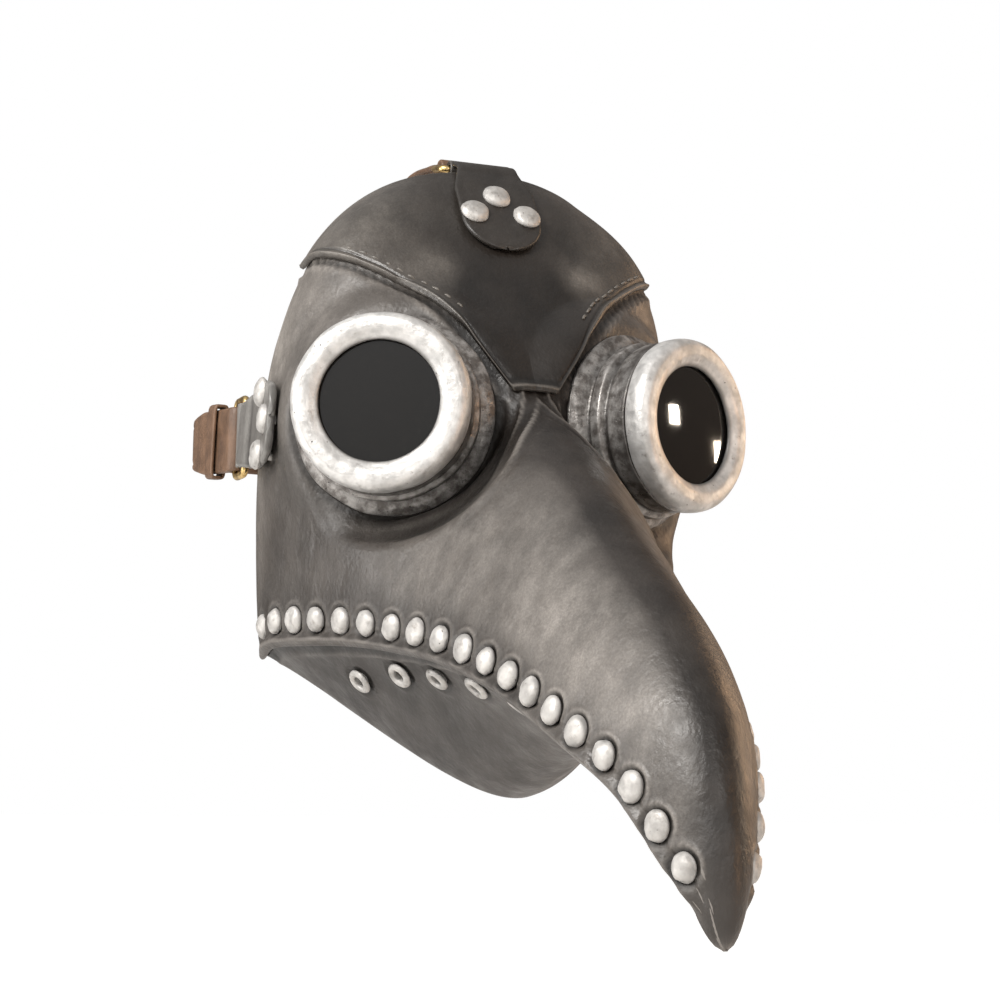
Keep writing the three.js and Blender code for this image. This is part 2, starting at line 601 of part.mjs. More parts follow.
/** The right-hand strap: straight beside the head, then narrower round it to the closure. */
function sideStrap() {
  const start = SIDE_PIVOT.clone().add(SIDE_REACH);
  const [dx, dy] = heading(SIDE_SPLAY);
  const straight = [3, 16, 30, 44].map((s) => [start.x + dx * s, start.y + dy * s]);
  const path = smoothPath([...straight, [85.5, 73], [79, 93], [65, 107], [46, 114.5], [32, 116.9],
    [3, 116.9]], 22);
  const band = acrossZ(bandOutline(path, -STRAP.thickness), STRAP.width, LUG_Z);
  const [half, narrow] = [STRAP.width / 2, STRAP.narrow / 2];
  const taper = [[0, half], [52, half], [90, narrow], [130, narrow]];
  const outline = [...taper, ...taper.map(([y, z]) => [y, -z]).reverse()];
  const mask = acrossX(outline.map(([y, z]) => [y, z + LUG_Z]), CUT);
  const climb = new THREE.Matrix4().makeTranslation(0, 0, -STRAP_RISE * start.y)
    .multiply(new THREE.Matrix4().makeShear(0, 0, 0, STRAP_RISE, 0, 0));
  const eye = bar(start.clone().setZ(LUG_Z - half), start.clone().setZ(LUG_Z + half), STRAP.eye, 16);
  const hole = bar(start.clone().setZ(LUG_Z - 30), start.clone().setZ(LUG_Z + 30), RING.hole, 12);
  return toSolid(band, climb).intersect(toSolid(mask, climb)).add(eye).subtract(hole);
}

/** The top strap: from its ring over the crown and down behind the upper edge of the rear pad. */
function topStrap() {
  const start = TOP_PIVOT.clone().add(TOP_REACH);
  const path = smoothPath([[start.y + 3, start.z + 0.5], [-4, 106.5], [24, 109], [58, 98], [92, 71],
    [112, 49], [116.8, 37.5], [116.8, 21]], 22);
  const band = acrossX(bandOutline(path.reverse(), -STRAP.thickness), STRAP.width);
  const half = STRAP.width / 2;
  const eye = bar(start.clone().setX(-half), start.clone().setX(half), STRAP.eye, 16);
  const hole = bar(start.clone().setX(-30), start.clone().setX(30), RING.hole, 12);
  return toSolid(band).add(eye).subtract(hole);
}

/** The rounded pad at the back of the head that the side straps close on. */
function rearPad() {
  const [w, h, r] = [PAD.width / 2, PAD.height / 2, PAD.corner];
  const corners = [[w - r, h - r, 0], [r - w, h - r, 90], [r - w, r - h, 180], [w - r, r - h, 270]];
  const outline = corners.flatMap(([x, z, from]) => [0, 30, 60, 90].map((a) =>
    [x + r * Math.cos(rad(from + a)), z + r * Math.sin(rad(from + a)) + PAD.z]));
  return acrossY(outline, PAD.thickness).translate(0, PAD.front + PAD.thickness / 2, 0);
}

/** A flat leather loop that slides along the straight part of a side strap. */
function keeper() {
  const [dx, dy] = heading(SIDE_SPLAY);
  const middle = SIDE_PIVOT.clone().add(SIDE_REACH).add(v3(dx * KEEPER.at, dy * KEEPER.at, 0));
  middle.add(v3(dy, -dx, 0).multiplyScalar(STRAP.thickness / 2));
  middle.z += STRAP_RISE * dy * KEEPER.at;
  const turn = new THREE.Matrix4().makeRotationZ(-rad(SIDE_SPLAY));
  const tilt = new THREE.Matrix4().makeRotationX(Math.atan(STRAP_RISE));
  const place = new THREE.Matrix4().makeTranslation(middle.x, middle.y, middle.z);
  const frame = place.multiply(turn).multiply(tilt);
  const slot = [STRAP.thickness, STRAP.width].map((size) => size + 2 * KEEPER.clearance);
  const [thick, tall] = slot.map((size) => size + 2 * KEEPER.wall);
  const block = new THREE.BoxGeometry(thick, KEEPER.along, tall);
  const opening = new THREE.BoxGeometry(slot[0], KEEPER.along * 2, slot[1]);
  return toSolid(block, frame).subtract(toSolid(opening, frame));
}

// ---------------------------------------------------------------- materials and assembly

const material = (color, roughness, metalness) =>
  new THREE.MeshStandardMaterial({ color, roughness, metalness });
const shellLeather = material(0x3c3936, 0.55, 0);
const browLeather = material(0x2a2522, 0.5, 0);
const jawLeather = material(0x302d2a, 0.6, 0);
const paintedMetal = material(0xb9b6b0, 0.45, 0.7);
const barrelMetal = material(0x8d8983, 0.5, 0.7);
const darkGlass = material(0x08090a, 0.05, 0);
const rubber = material(0x141414, 0.8, 0);
const brass = material(0xb08a45, 0.35, 0.9);
const strapLeather = material(0x5a4232, 0.6, 0);

const mask = new THREE.Group();

function addPiece(name, geometry, look, parent = mask) {
  const piece = new THREE.Mesh(geometry, look);
  piece.name = name;
  parent.add(piece);
  return piece;
}

const addSolid = (name, solid, look) => addPiece(name, toGeometry(solid), look);

addSolid('face_shell', faceShell(), shellLeather);
addSolid('brow_panel', browPanel(), browLeather);
addSolid('jaw_panel', jawPanel(), jawLeather);

for (const [name, side] of SIDES) {
  const eyepiece = new THREE.Group();
  eyepiece.applyMatrix4(eyeFrame(side));
  mask.add(eyepiece);
  addPiece(`eyepiece_barrel_${name}`, barrel(), barrelMetal, eyepiece);
  addPiece(`eyepiece_bezel_${name}`, bezel(), paintedMetal, eyepiece);
  addPiece(`lens_${name}`, lens(), darkGlass, eyepiece);
  addPiece(`lens_gasket_${name}`, gasket(), rubber, eyepiece);
  addPiece(`retaining_ring_${name}`, retainer(), barrelMetal, eyepiece);

  addSolid(`mouth_rivets_${name}`, studRow(side), paintedMetal);
  EYELETS.forEach(([t, v], k) => {
    addPiece(`jaw_eyelet_${name}_${k + 1}`, eyelet(), paintedMetal).applyMatrix4(jawFrame(t, v, side));
  });

  const flip = (solid) => toSolid(toGeometry(solid), handed(side));
  const reach = SIDE_REACH.clone().setX(side * SIDE_REACH.x);
  addSolid(`side_tab_${name}`, flip(sideTab()), jawLeather);
  const hinge = SIDE_PIVOT.clone().setX(side * SIDE_PIVOT.x);
  addSolid(`side_ring_${name}`, wireRing(hinge, reach, v3(0, 0, 1)), brass);
  addSolid(`side_strap_${name}`, flip(sideStrap()), strapLeather);
  addSolid(`strap_keeper_${name}`, flip(keeper()), strapLeather);
}

addSolid('top_tab', topTab(), browLeather);
addSolid('top_ring', wireRing(TOP_PIVOT, TOP_REACH, v3(1, 0, 0)), brass);
addSolid('top_strap', topStrap(), strapLeather);
addPiece('rear_pad', rearPad(), strapLeather);

for (const [tab, frames] of Object.entries(TAB_RIVETS)) {
  frames.forEach((frame, k) => {
    addPiece(`tab_rivet_${tab}_${k + 1}`, tabRivet(), paintedMetal).applyMatrix4(frame);
  });
}

export default mask;
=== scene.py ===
"""Looks of the plague doctor mask: weathered leather, painted metal, dark lenses and brown straps.

The skin of the mask is the same surface as in the CAD, drawn finely and given its relief: the brow
seam, the folds round the eyepieces, the sockets of the rivets and the rolled lip over the jaw.
Lengths below are in millimetres and become metres when a mesh is made.
"""
import math
from itertools import product

import bpy
import numpy as np
from mathutils import Matrix


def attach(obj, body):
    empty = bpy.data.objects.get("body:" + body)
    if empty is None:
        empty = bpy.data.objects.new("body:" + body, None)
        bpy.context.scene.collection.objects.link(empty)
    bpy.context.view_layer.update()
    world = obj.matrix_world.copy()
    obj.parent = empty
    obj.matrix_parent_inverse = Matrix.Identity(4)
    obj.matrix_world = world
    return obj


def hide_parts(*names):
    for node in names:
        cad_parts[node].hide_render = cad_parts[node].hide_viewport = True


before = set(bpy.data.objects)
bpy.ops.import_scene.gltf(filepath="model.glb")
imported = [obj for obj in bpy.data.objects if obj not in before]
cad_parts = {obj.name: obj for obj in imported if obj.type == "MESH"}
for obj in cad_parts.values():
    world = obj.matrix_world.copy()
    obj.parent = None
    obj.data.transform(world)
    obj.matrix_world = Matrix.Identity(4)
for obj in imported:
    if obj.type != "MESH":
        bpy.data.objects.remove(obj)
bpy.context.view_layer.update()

MM = 0.001

# ------------------------------------------------------------------ driving dimensions

GAP = 0.3                      # clearance between two pieces
SKIN = 2.5                     # wall of the face shell
PANEL = 1.9                    # wall of the brow panel
JAW_SKIN = 2.2                 # wall of the jaw panel
JAW_LAP = 13.0                 # how far the jaw reaches up inside the shell

# Sections of the skin, back rim to beak tip, as in the CAD:
# crown y, z; mouth x, y, z; chin y, z; flat; upright; bulge; sweep
SECTIONS = np.array([
    [-37, 97, 76, -4, -92, -80, -146, 0.66, 0.86, 18, 24],
    [-49, 81, 77, -24, -89, -87, -145, 0.88, 0.90, 9, 6],
    [-65, 55, 71, -50, -89.5, -97, -143, 0.84, 0.84, 8, 3],
    [-81, 28, 62, -74, -91, -110, -139, 0.72, 0.70, 9, 3],
    [-97, 0, 53, -99, -94.5, -125, -135, 0.50, 0.50, 5, 0],
    [-128, -23, 45, -130, -100.5, -141, -131, 0.44, 0.42, 0, 0],
    [-169, -54, 37, -165, -112.5, -163, -129, 0.46, 0.42, 0, 0],
    [-211, -84, 31, -199, -128, -191, -136, 0.46, 0.42, 0, 0],
    [-240, -114, 23, -223, -143, -211, -150, 0.50, 0.42, 0, 0],
    [-254, -148, 15, -238, -162, -228, -168, 0.50, 0.45, 0, 0],
    [-257, -172, 7.5, -247, -176, -241, -178, 0.50, 0.50, 0, 0],
    [-253.5, -181.5, 4, -249, -182.5, -246, -182.5, 0.50, 0.50, 0, 0],
])
TIP = len(SECTIONS) - 1
TIP_START = np.array([0, -249, -175])    # axis of the bullet-shaped last section
TIP_END = np.array([0, -251, -185.8])
TIP_CAP = 0.5                  # height of the small dome that closes it
JAW_FULLNESS, CHIN_WIDTH = 0.38, 0.32

EYE_SEAT = np.array([46, -74.9, -7])
EYE_SPLAY = math.radians(28)
EYE_AXIS = np.array([math.sin(EYE_SPLAY), -math.cos(EYE_SPLAY), 0])
SOCKET, SOCKET_BRIM = 38, 52   # radii between which the skin is drawn flat onto the seat
FLANGE, BORE = 36.8, 24.5
EYE_HOLE = 30.5                # hole in the skin, hidden under the flange

ROW = dict(count=19, start=10.5, pitch=14.8, at_cheek=10.5, at_tip=6)
EYELETS = [(2.0, 1.21), (3.2, 1.19), (4.1, 1.20), (4.9, 1.23), (5.6, 1.30), (6.2, 1.42)]
LUG_Z = -5.0                   # height of the side tabs' middle
SIDE_HINGE = (82.5, 2.0)       # [x, y] of a side ring's upright bar in its tab
SIDE_SPLAY = math.radians(4)   # direction of a side ring and the start of its strap
STRAP_RISE = 0.11              # climb of a side strap towards the back of the head
TOP_HINGE = (-31.0, 100.5)     # [y, z] of the top ring's bar in its tab
TOP_RISE = math.radians(15)
RING = dict(wire=1.5, reach=11.5, half=14.8)
EYE = dict(tab=3.6, strap=4.1, hole=1.9)
TAB_LEAN = -0.055
TAB_PATH = [(82.3, -46), (81.6, -41), (80.9, -34), (80.4, -28), (80.3, -22), (80.4, -16), (80.6, -10),
            SIDE_HINGE]
TAB_RIVETS = [(-27, 12), (-38, 0), (-28, -12)]
TOP_RIVETS = [(-10.5, 1.3), (0, 0.95), (10.5, 1.3)]
STRAP = 2.5                    # thickness of a strap
HALF_WIDTH = 13                # half the width of a strap
SIDE_STRAP = [(85.5, 73), (79, 93), (65, 107), (46, 114.5), (32, 116.9), (3, 116.9)]
TOP_STRAP = [(-4, 106.5), (24, 109), (58, 98), (92, 71), (112, 49), (116.8, 37.5), (116.8, 21)]
KEEPER = dict(wall=1.5, along=9, at=23, clearance=0.6)
REAR_PAD = dict(half_width=32, half_height=28, front=113, thickness=3.5, z=8)
SEAM = [(8, 1), (16, 13), (24, 25), (35, 37), (46, 46), (57, 53), (74, 60)]

SIDES = (("right", 1), ("left", -1))

# ------------------------------------------------------------------ small tools


def unit(v):
    """v scaled to length one along its last axis."""
    return v / np.maximum(np.linalg.norm(v, axis=-1, keepdims=True), 1e-9)


def ramp(x, low, high):
    """0 below low, 1 above high, smooth in between."""
    f = np.clip((x - low) / (high - low), 0, 1)
    return f * f * (3 - 2 * f)


def bump(x, width):
    """A smooth hump of height one at x = 0 that is gone at distance width."""
    return 1 - ramp(np.abs(x), 0, width)


def run_along(points):
    """Distance travelled from the first point to each point of a line."""
    return np.concatenate([[0], np.cumsum(np.linalg.norm(np.diff(points, axis=0), axis=1))])


def on_right(points):
    """Points with those of the left half mirrored onto the right half."""
    result = points.copy()
    result[..., 0] = np.abs(points[..., 0])
    return result


def strips(rings, size, closed=False):
    """Faces between consecutive rings of size points, and back to the first ring if closed."""
    faces = []
    for i in range(rings if closed else rings - 1):
        a, b = i * size, (i + 1) % rings * size
        faces += [(a + k, b + k, b + (k + 1) % size, a + (k + 1) % size) for k in range(size)]
    return faces


def lattice(cell):
    """A fixed pseudo-random number from -1 to 1 for each whole-number cell."""
    mixed = cell[..., 0] * 73856093 ^ cell[..., 1] * 19349663 ^ cell[..., 2] * 83492791
    mixed = ((mixed ^ (mixed >> 13)) * 1274126177) & 0x7FFFFFFF
    return mixed / 0x3FFFFFFF - 1


def ripple(points, size, seed=0):
    """Smooth noise from -1 to 1 at points, with features about size across."""
    q = points / size + seed * 17.37
    cell = np.floor(q).astype(np.int64)
    f = q - cell
    f = f * f * (3 - 2 * f)
    total = 0
    for corner in product((0, 1), repeat=3):
        step = np.array(corner)
        total = total + np.prod(np.where(step == 1, f, 1 - f), axis=-1) * lattice(cell + step)
    return total


def mesh_piece(name, points, faces, material, body, node=None, marks=None, smooth=True):
    """A mesh object from points in mm, riding on a body and standing for a CAD node."""
    mesh = bpy.data.meshes.new(name)
    mesh.from_pydata((np.asarray(points) * MM).tolist(), [], faces)
    mesh.validate()
    mesh.update()
    for mark, values in (marks or {}).items():
        layer = mesh.attributes.new(mark, "FLOAT", "POINT")
        layer.data.foreach_set("value", np.asarray(values, dtype=np.float32))
    if smooth:
        mesh.polygons.foreach_set("use_smooth", [True] * len(mesh.polygons))
    piece = bpy.data.objects.new(name, mesh)
    bpy.context.scene.collection.objects.link(piece)
    mesh.materials.append(material)
    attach(piece, body)
    if node:
        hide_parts(*([node] if isinstance(node, str) else node))
    return piece


def lathe(profile, frame_matrix, segments=128, wobble=0.0, seed=0):
    """Points and faces of a closed profile of (radius, height) turned about a frame's z axis."""
    profile = np.array(profile, dtype=float)
    turn = np.linspace(0, 2 * math.pi, segments, endpoint=False)
    local = np.stack([np.outer(np.cos(turn), profile[:, 0]), np.outer(np.sin(turn), profile[:, 0]),
                      np.tile(profile[:, 1], (segments, 1))], axis=-1)
    if wobble:
        local[..., :2] *= 1 + wobble * ripple(local, 9, seed)[..., None] / profile[:, 0].mean()
        local[..., 2] += wobble * ripple(local, 11, seed + 3)
    return carry(local.reshape(-1, 3), frame_matrix), strips(segments, len(profile), closed=True)


def turned_solid(profile, frame_matrix, segments=48):
    """Points and faces of a profile that starts and ends on a frame's z axis, turned about it."""
    middle = np.array(profile[1:-1], dtype=float)
    turn = np.linspace(0, 2 * math.pi, segments, endpoint=False)
    local = np.stack([np.outer(np.cos(turn), middle[:, 0]), np.outer(np.sin(turn), middle[:, 0]),
                      np.tile(middle[:, 1], (segments, 1))], axis=-1).reshape(-1, 3)
    local = np.concatenate([local, [[0, 0, profile[0][1]], [0, 0, profile[-1][1]]]])
    count, first, last = len(middle), len(local) - 2, len(local) - 1
    faces = []
    for i in range(segments):
        a, b = i * count, (i + 1) % segments * count
        faces += [(a + j, b + j, b + j + 1, a + j + 1) for j in range(count - 1)]
        faces += [(first, b, a), (last, a + count - 1, b + count - 1)]
    return carry(local, frame_matrix), faces


def band(path, out, across, half, thickness, sides=18, groove=0.0):
    """A soft-edged band along a path: out points through its thickness, across along its width."""
    path, out, across = (np.asarray(a, dtype=float) for a in (path, out, across))
    half = np.broadcast_to(half, len(path))
    run = run_along(path)
    ends = np.minimum(run, run[-1] - run)
    slim = np.sqrt(np.clip(1 - (1 - np.clip(ends / (0.5 * thickness), 0, 1)) ** 2, 0.03, 1))
    u = -np.cos(np.linspace(0, math.pi, sides))
    rings = []
    for point, n, w, h, s in zip(path, out, across, half, slim):
        edge = np.clip((h * (1 - np.abs(u))) / (0.5 * thickness), 0, 1)
        rise = 0.5 * thickness * s * np.sqrt(np.clip(1 - (1 - edge) ** 2, 0, 1))
        line = groove * bump(h * (1 - np.abs(u)) - 2.6, 0.9)
        flat = h * u - np.sign(u) * 0.5 * thickness * (1 - s)
        upper = point + flat[:, None] * w + (rise - line)[:, None] * n
        lower = point + flat[:, None] * w - rise[:, None] * n
        rings.append(np.concatenate([upper, lower[-2:0:-1]]))
    count = 2 * sides - 2
    last = (len(path) - 1) * count
    caps = [tuple(range(count)), tuple(range(last + count - 1, last - 1, -1))]
    return np.concatenate(rings), strips(len(path), count) + caps


def spline(corners, count):
    """Evenly spaced points on a smooth curve through corners."""
    corners = np.asarray(corners, dtype=float)
    padded = np.concatenate([[2 * corners[0] - corners[1]], corners, [2 * corners[-1] - corners[-2]]])
    fine = []
    for a, b, c, d in zip(padded, padded[1:], padded[2:], padded[3:]):
        for s in np.linspace(0, 1, 24, endpoint=False):
            fine.append(0.5 * (2 * b + (c - a) * s + (2 * a - 5 * b + 4 * c - d) * s * s
                               + (3 * b - a - 3 * c + d) * s ** 3))
    fine = np.array(fine + [corners[-1]])
    run = run_along(fine)
    stops = np.linspace(0, run[-1], count)
    return np.stack([np.interp(stops, run, fine[:, k]) for k in range(fine.shape[1])], -1)


def carry(points, matrix):
    """Points moved by a 4 x 4 matrix."""
    return points @ matrix[:3, :3].T + matrix[:3, 3]


def frame_at(point, normal, up=(0, 0, 1)):
    """Matrix whose z axis is a normal at a point, its x axis square to up."""
    z = unit(np.asarray(normal, dtype=float))
    x = unit(np.cross(up, z))
    matrix = np.eye(4)
    matrix[:3, 0], matrix[:3, 1], matrix[:3, 2], matrix[:3, 3] = x, np.cross(z, x), z, point
    return matrix


def rounded(profile, radius, steps=4):
    """A closed profile with its corners rounded to about a radius."""
    points = np.array(profile, dtype=float)
    result = []
    for k, corner in enumerate(points):
        back, ahead = points[k - 1] - corner, points[(k + 1) % len(points)] - corner
        reach = min(radius, 0.45 * np.linalg.norm(back), 0.45 * np.linalg.norm(ahead))
        start, end = corner + unit(back) * reach, corner + unit(ahead) * reach
        for f in np.linspace(0, 1, steps):
            result.append((1 - f) ** 2 * start + 2 * f * (1 - f) * corner + f * f * end)
    return result


def merged(parts):
    """Several (points, faces) joined into one."""
    points, faces, offset = [], [], 0
    for part_points, part_faces in parts:
        points.append(part_points)
        faces.extend(tuple(k + offset for k in face) for face in part_faces)
        offset += len(part_points)
    return np.concatenate(points), faces


def tube(path, radius, sides=12, closed=False):
    """A round tube along a path of points, with flat ends where it isn't closed."""
    path = np.asarray(path, dtype=float)
    ahead = np.roll(path, -1, 0) - np.roll(path, 1, 0)
    if not closed:
        ahead[0], ahead[-1] = path[1] - path[0], path[-1] - path[-2]
    ahead = unit(ahead)
    side = unit(np.cross(ahead[0], [0.31, 0.17, 0.93]))
    rings = []
    for point, along_path in zip(path, ahead):
        side = unit(side - along_path * (side @ along_path))
        other = np.cross(along_path, side)
        turn = np.linspace(0, 2 * math.pi, sides, endpoint=False)
        rings.append(point + radius * (np.outer(np.cos(turn), side) + np.outer(np.sin(turn), other)))
    faces = [(a, d, c, b) for a, b, c, d in strips(len(path), sides, closed)]
    if not closed:
        last = (len(path) - 1) * sides
        faces += [tuple(range(sides - 1, -1, -1)), tuple(range(last, last + sides))]
    return np.concatenate(rings), faces


# ------------------------------------------------------------------ the skin as a surface


def along(t):
    """All section numbers at positions t, by a Catmull-Rom spline."""
    i = np.clip(np.floor(t).astype(int), 0, TIP - 1)
    f = (t - i)[..., None]
    b, c = SECTIONS[i], SECTIONS[i + 1]
    a = np.where((i > 0)[..., None], SECTIONS[np.maximum(i - 1, 0)], 2 * b - c)
    d = np.where((i + 2 <= TIP)[..., None], SECTIONS[np.minimum(i + 2, TIP)], 2 * c - b)
    bend = 2 * a - 5 * b + 4 * c - d
    twist = 3 * b - a - 3 * c + d
    return 0.5 * (2 * b + (c - a) * f + bend * f ** 2 + twist * f ** 3)


def bezier(corners, v):
    """Point of a cubic Bezier curve."""
    p0, p1, p2, p3 = corners
    w, v = (1 - v)[..., None], v[..., None]
    return w ** 3 * p0 + 3 * w * w * v * p1 + 3 * w * v * v * p2 + v ** 3 * p3


def section_corners(t):
    """Control points of the half section at t: crown to mouth line, and mouth line to chin."""
    s = along(t)
    zero = np.zeros_like(s[..., 0])
    crown = np.stack([zero, s[..., 0], s[..., 1]], -1)
    mouth = s[..., 2:5]
    chin = np.stack([zero, s[..., 5], s[..., 6]], -1)
    flat, upright, bulge, sweep = (s[..., k, None] for k in (7, 8, 9, 10))
    wide = mouth * [1, 0, 0]
    brow = crown + flat * wide
    above = mouth + upright * (crown + wide - mouth) + bulge * [1, 0, 0] + sweep * [0, 1, 0]
    below = mouth + JAW_FULLNESS * (chin - mouth)
    under = chin + CHIN_WIDTH * wide
    return (crown, brow, above, mouth), (mouth, below, under, chin)


def socketed(points):
    """Draws the skin round an eyepiece flat onto the eyepiece's seat."""
    offset = points - EYE_SEAT
    height = offset @ EYE_AXIS
    radius = np.linalg.norm(offset - height[..., None] * EYE_AXIS, axis=-1)
    pull = 1 - ramp(radius, SOCKET, SOCKET_BRIM)
    return points - (height * pull)[..., None] * EYE_AXIS


def skin(t, v):
    """Points of the right half of the skin: v runs 0 crown, 1 mouth line, 2 chin."""
    upper, lower = section_corners(t)
    high = bezier(upper, np.clip(v, 0, 1))
    low = bezier(lower, np.clip(v - 1, 0, 1))
    return socketed(np.where((v <= 1)[..., None], high, low))


STEP = 0.01


def outward(t, v, patch):
    """Outward unit normal of the skin at (t, v), taken inside patch 0 (face) or 1 (jaw)."""
    forward = skin(np.minimum(t + STEP, TIP), v) - skin(np.maximum(t - STEP, 0), v)
    low, high = np.maximum(v - STEP, patch), np.minimum(v + STEP, patch + 1)
    if patch == 1:
        low = np.maximum(low, 1 + 1e-6)
        high = np.maximum(high, low + STEP)
    normal = np.cross(forward, skin(t, high) - skin(t, low))
    middle = (v <= 1e-6) | (v >= 2 - 1e-6)
    normal[..., 0] = np.where(middle, 0, normal[..., 0])
    return unit(normal)


def row_v(t, extra=0.0):
    """Position v of the rivet row at t, a set rise above the mouth line."""
    upper, _ = section_corners(t)
    reach = 3 * np.linalg.norm(upper[3] - upper[2], axis=-1)
    rise = ROW["at_cheek"] + (ROW["at_tip"] - ROW["at_cheek"]) * t / TIP
    return 1 - (rise + extra) / reach


def row_steps():
    """Section positions of the rivets, evenly spaced along the row."""
    t = np.arange(0, TIP, 0.01)
    points = skin(t, row_v(t))
    travelled = run_along(points)
    return np.interp(ROW["start"] + ROW["pitch"] * np.arange(ROW["count"]), travelled, t)


ROW_STEPS = row_steps()
RIVET_POINTS = skin(ROW_STEPS, row_v(ROW_STEPS))
RIVET_NORMALS = outward(ROW_STEPS, row_v(ROW_STEPS), 0)


def seam_line():
    """The brow seam as (x, z) points, smoothed through its corners."""
    knots = np.array([(0, 1), *SEAM], dtype=float)
    fine = np.linspace(0, len(knots) - 1, 200)
    line = np.stack([np.interp(fine, range(len(knots)), knots[:, k]) for k in (0, 1)], -1)
    kernel = np.ones(13) / 13
    for k in (0, 1):
        padded = np.concatenate([np.repeat(line[:1, k], 6), line[:, k], np.repeat(line[-1:, k], 6)])
        line[60:, k] = np.convolve(padded, kernel, "valid")[60:]
    return line


SEAM_XZ = seam_line()


def seam_height(x):
    """Height z of the brow seam at a distance x from the middle."""
    return np.interp(np.abs(x), SEAM_XZ[:, 0], SEAM_XZ[:, 1])


def spread(edge_rows, length, count, crowding=0.45):
    """Distances from an edge: a few close rows for its rounding, then steps that grow."""
    f = np.linspace(0, 1, count - len(edge_rows) + 1)[1:]
    last = edge_rows[-1]
    rest = last + (length - last) * (crowding * f + (1 - crowding) * f * f)
    return np.concatenate([edge_rows, rest])


EDGE_ROWS = (0.0, 0.12, 0.42, 0.8, 1.25)


def face_grid(columns, t_end):
    """Grids of t, v and of distances from the rim and the lip, for the right half of the face."""
    t_fine = np.linspace(0, t_end, 600)
    walk = skin(t_fine, row_v(t_fine))
    run = run_along(walk)
    rows = int(run[-1] / 1.35)
    from_rim = np.concatenate([EDGE_ROWS, np.linspace(2.2, run[-1], rows)])
    t_rows = np.interp(from_rim, run, t_fine)
    v_fine = np.linspace(0, 1, 400)
    t_grid, v_grid, lip_grid = [], [], []
    for t in t_rows:
        curve = skin(np.full(400, t), v_fine)
        length = run_along(curve)
        from_lip = spread(EDGE_ROWS, length[-1], columns)
        v_grid.append(np.interp(length[-1] - from_lip, length, v_fine))
        t_grid.append(np.full(columns, t))
        lip_grid.append(from_lip)
    rim_grid = np.repeat(from_rim[:, None], columns, 1)
    return np.array(t_grid), np.array(v_grid), rim_grid, np.array(lip_grid)


def both_halves(grid, mirror=False):
    """A right-half grid, mouth line to crown, continued over the left half."""
    other = grid.copy()
    if mirror:
        other[..., 0] *= -1
    return np.concatenate([other[:, :-1], grid[:, ::-1]], axis=1)


def inset(distance, thickness):
    """How far a face is drawn in near an edge, so that the edge is round."""
    r = thickness / 2
    d = np.clip(distance, 0, r)
    return r - np.sqrt(np.maximum(r * r - (r - d) ** 2, 0))


def sheet(outer, inner, keep=None):
    """Points and faces of a sheet of two grids, walled round every edge of the kept cells."""
    rows, cols = outer.shape[:2]
    keep = np.ones((rows - 1, cols - 1), bool) if keep is None else keep
    number = np.arange(rows * cols).reshape(rows, cols)
    under = number + rows * cols
    faces = []

    def kept(i, j):
        return 0 <= i < rows - 1 and 0 <= j < cols - 1 and keep[i, j]

    for i, j in zip(*np.nonzero(keep)):
        a, b, c, d = number[i, j], number[i + 1, j], number[i + 1, j + 1], number[i, j + 1]
        e, f, g, h = under[i, j], under[i + 1, j], under[i + 1, j + 1], under[i, j + 1]
        faces += [(a, b, c, d), (h, g, f, e)]
        if not kept(i - 1, j):
            faces.append((a, d, h, e))
        if not kept(i + 1, j):
            faces.append((c, b, f, g))
        if not kept(i, j - 1):
            faces.append((b, a, e, f))
        if not kept(i, j + 1):
            faces.append((d, c, g, h))
    points = np.concatenate([outer.reshape(-1, 3), inner.reshape(-1, 3)])
    return compact(points, faces)


def compact(points, faces):
    """Drops the points that no face uses; also returns which were kept."""
    used = np.unique(np.array(faces).ravel())
    place = np.full(len(points), -1)
    place[used] = np.arange(len(used))
    return points[used], [tuple(place[list(face)].tolist()) for face in faces], used


def eye_polar(points):
    """Distance from the nearer eyepiece's axis, and the angle round it: 0 outwards, 90 up."""
    offset = on_right(points) - EYE_SEAT
    flat = offset - (offset @ EYE_AXIS)[..., None] * EYE_AXIS
    out = flat @ np.array([math.cos(EYE_SPLAY), math.sin(EYE_SPLAY), 0])
    return np.hypot(out, flat[..., 2]), np.degrees(np.arctan2(flat[..., 2], out))


# ------------------------------------------------------------------ materials


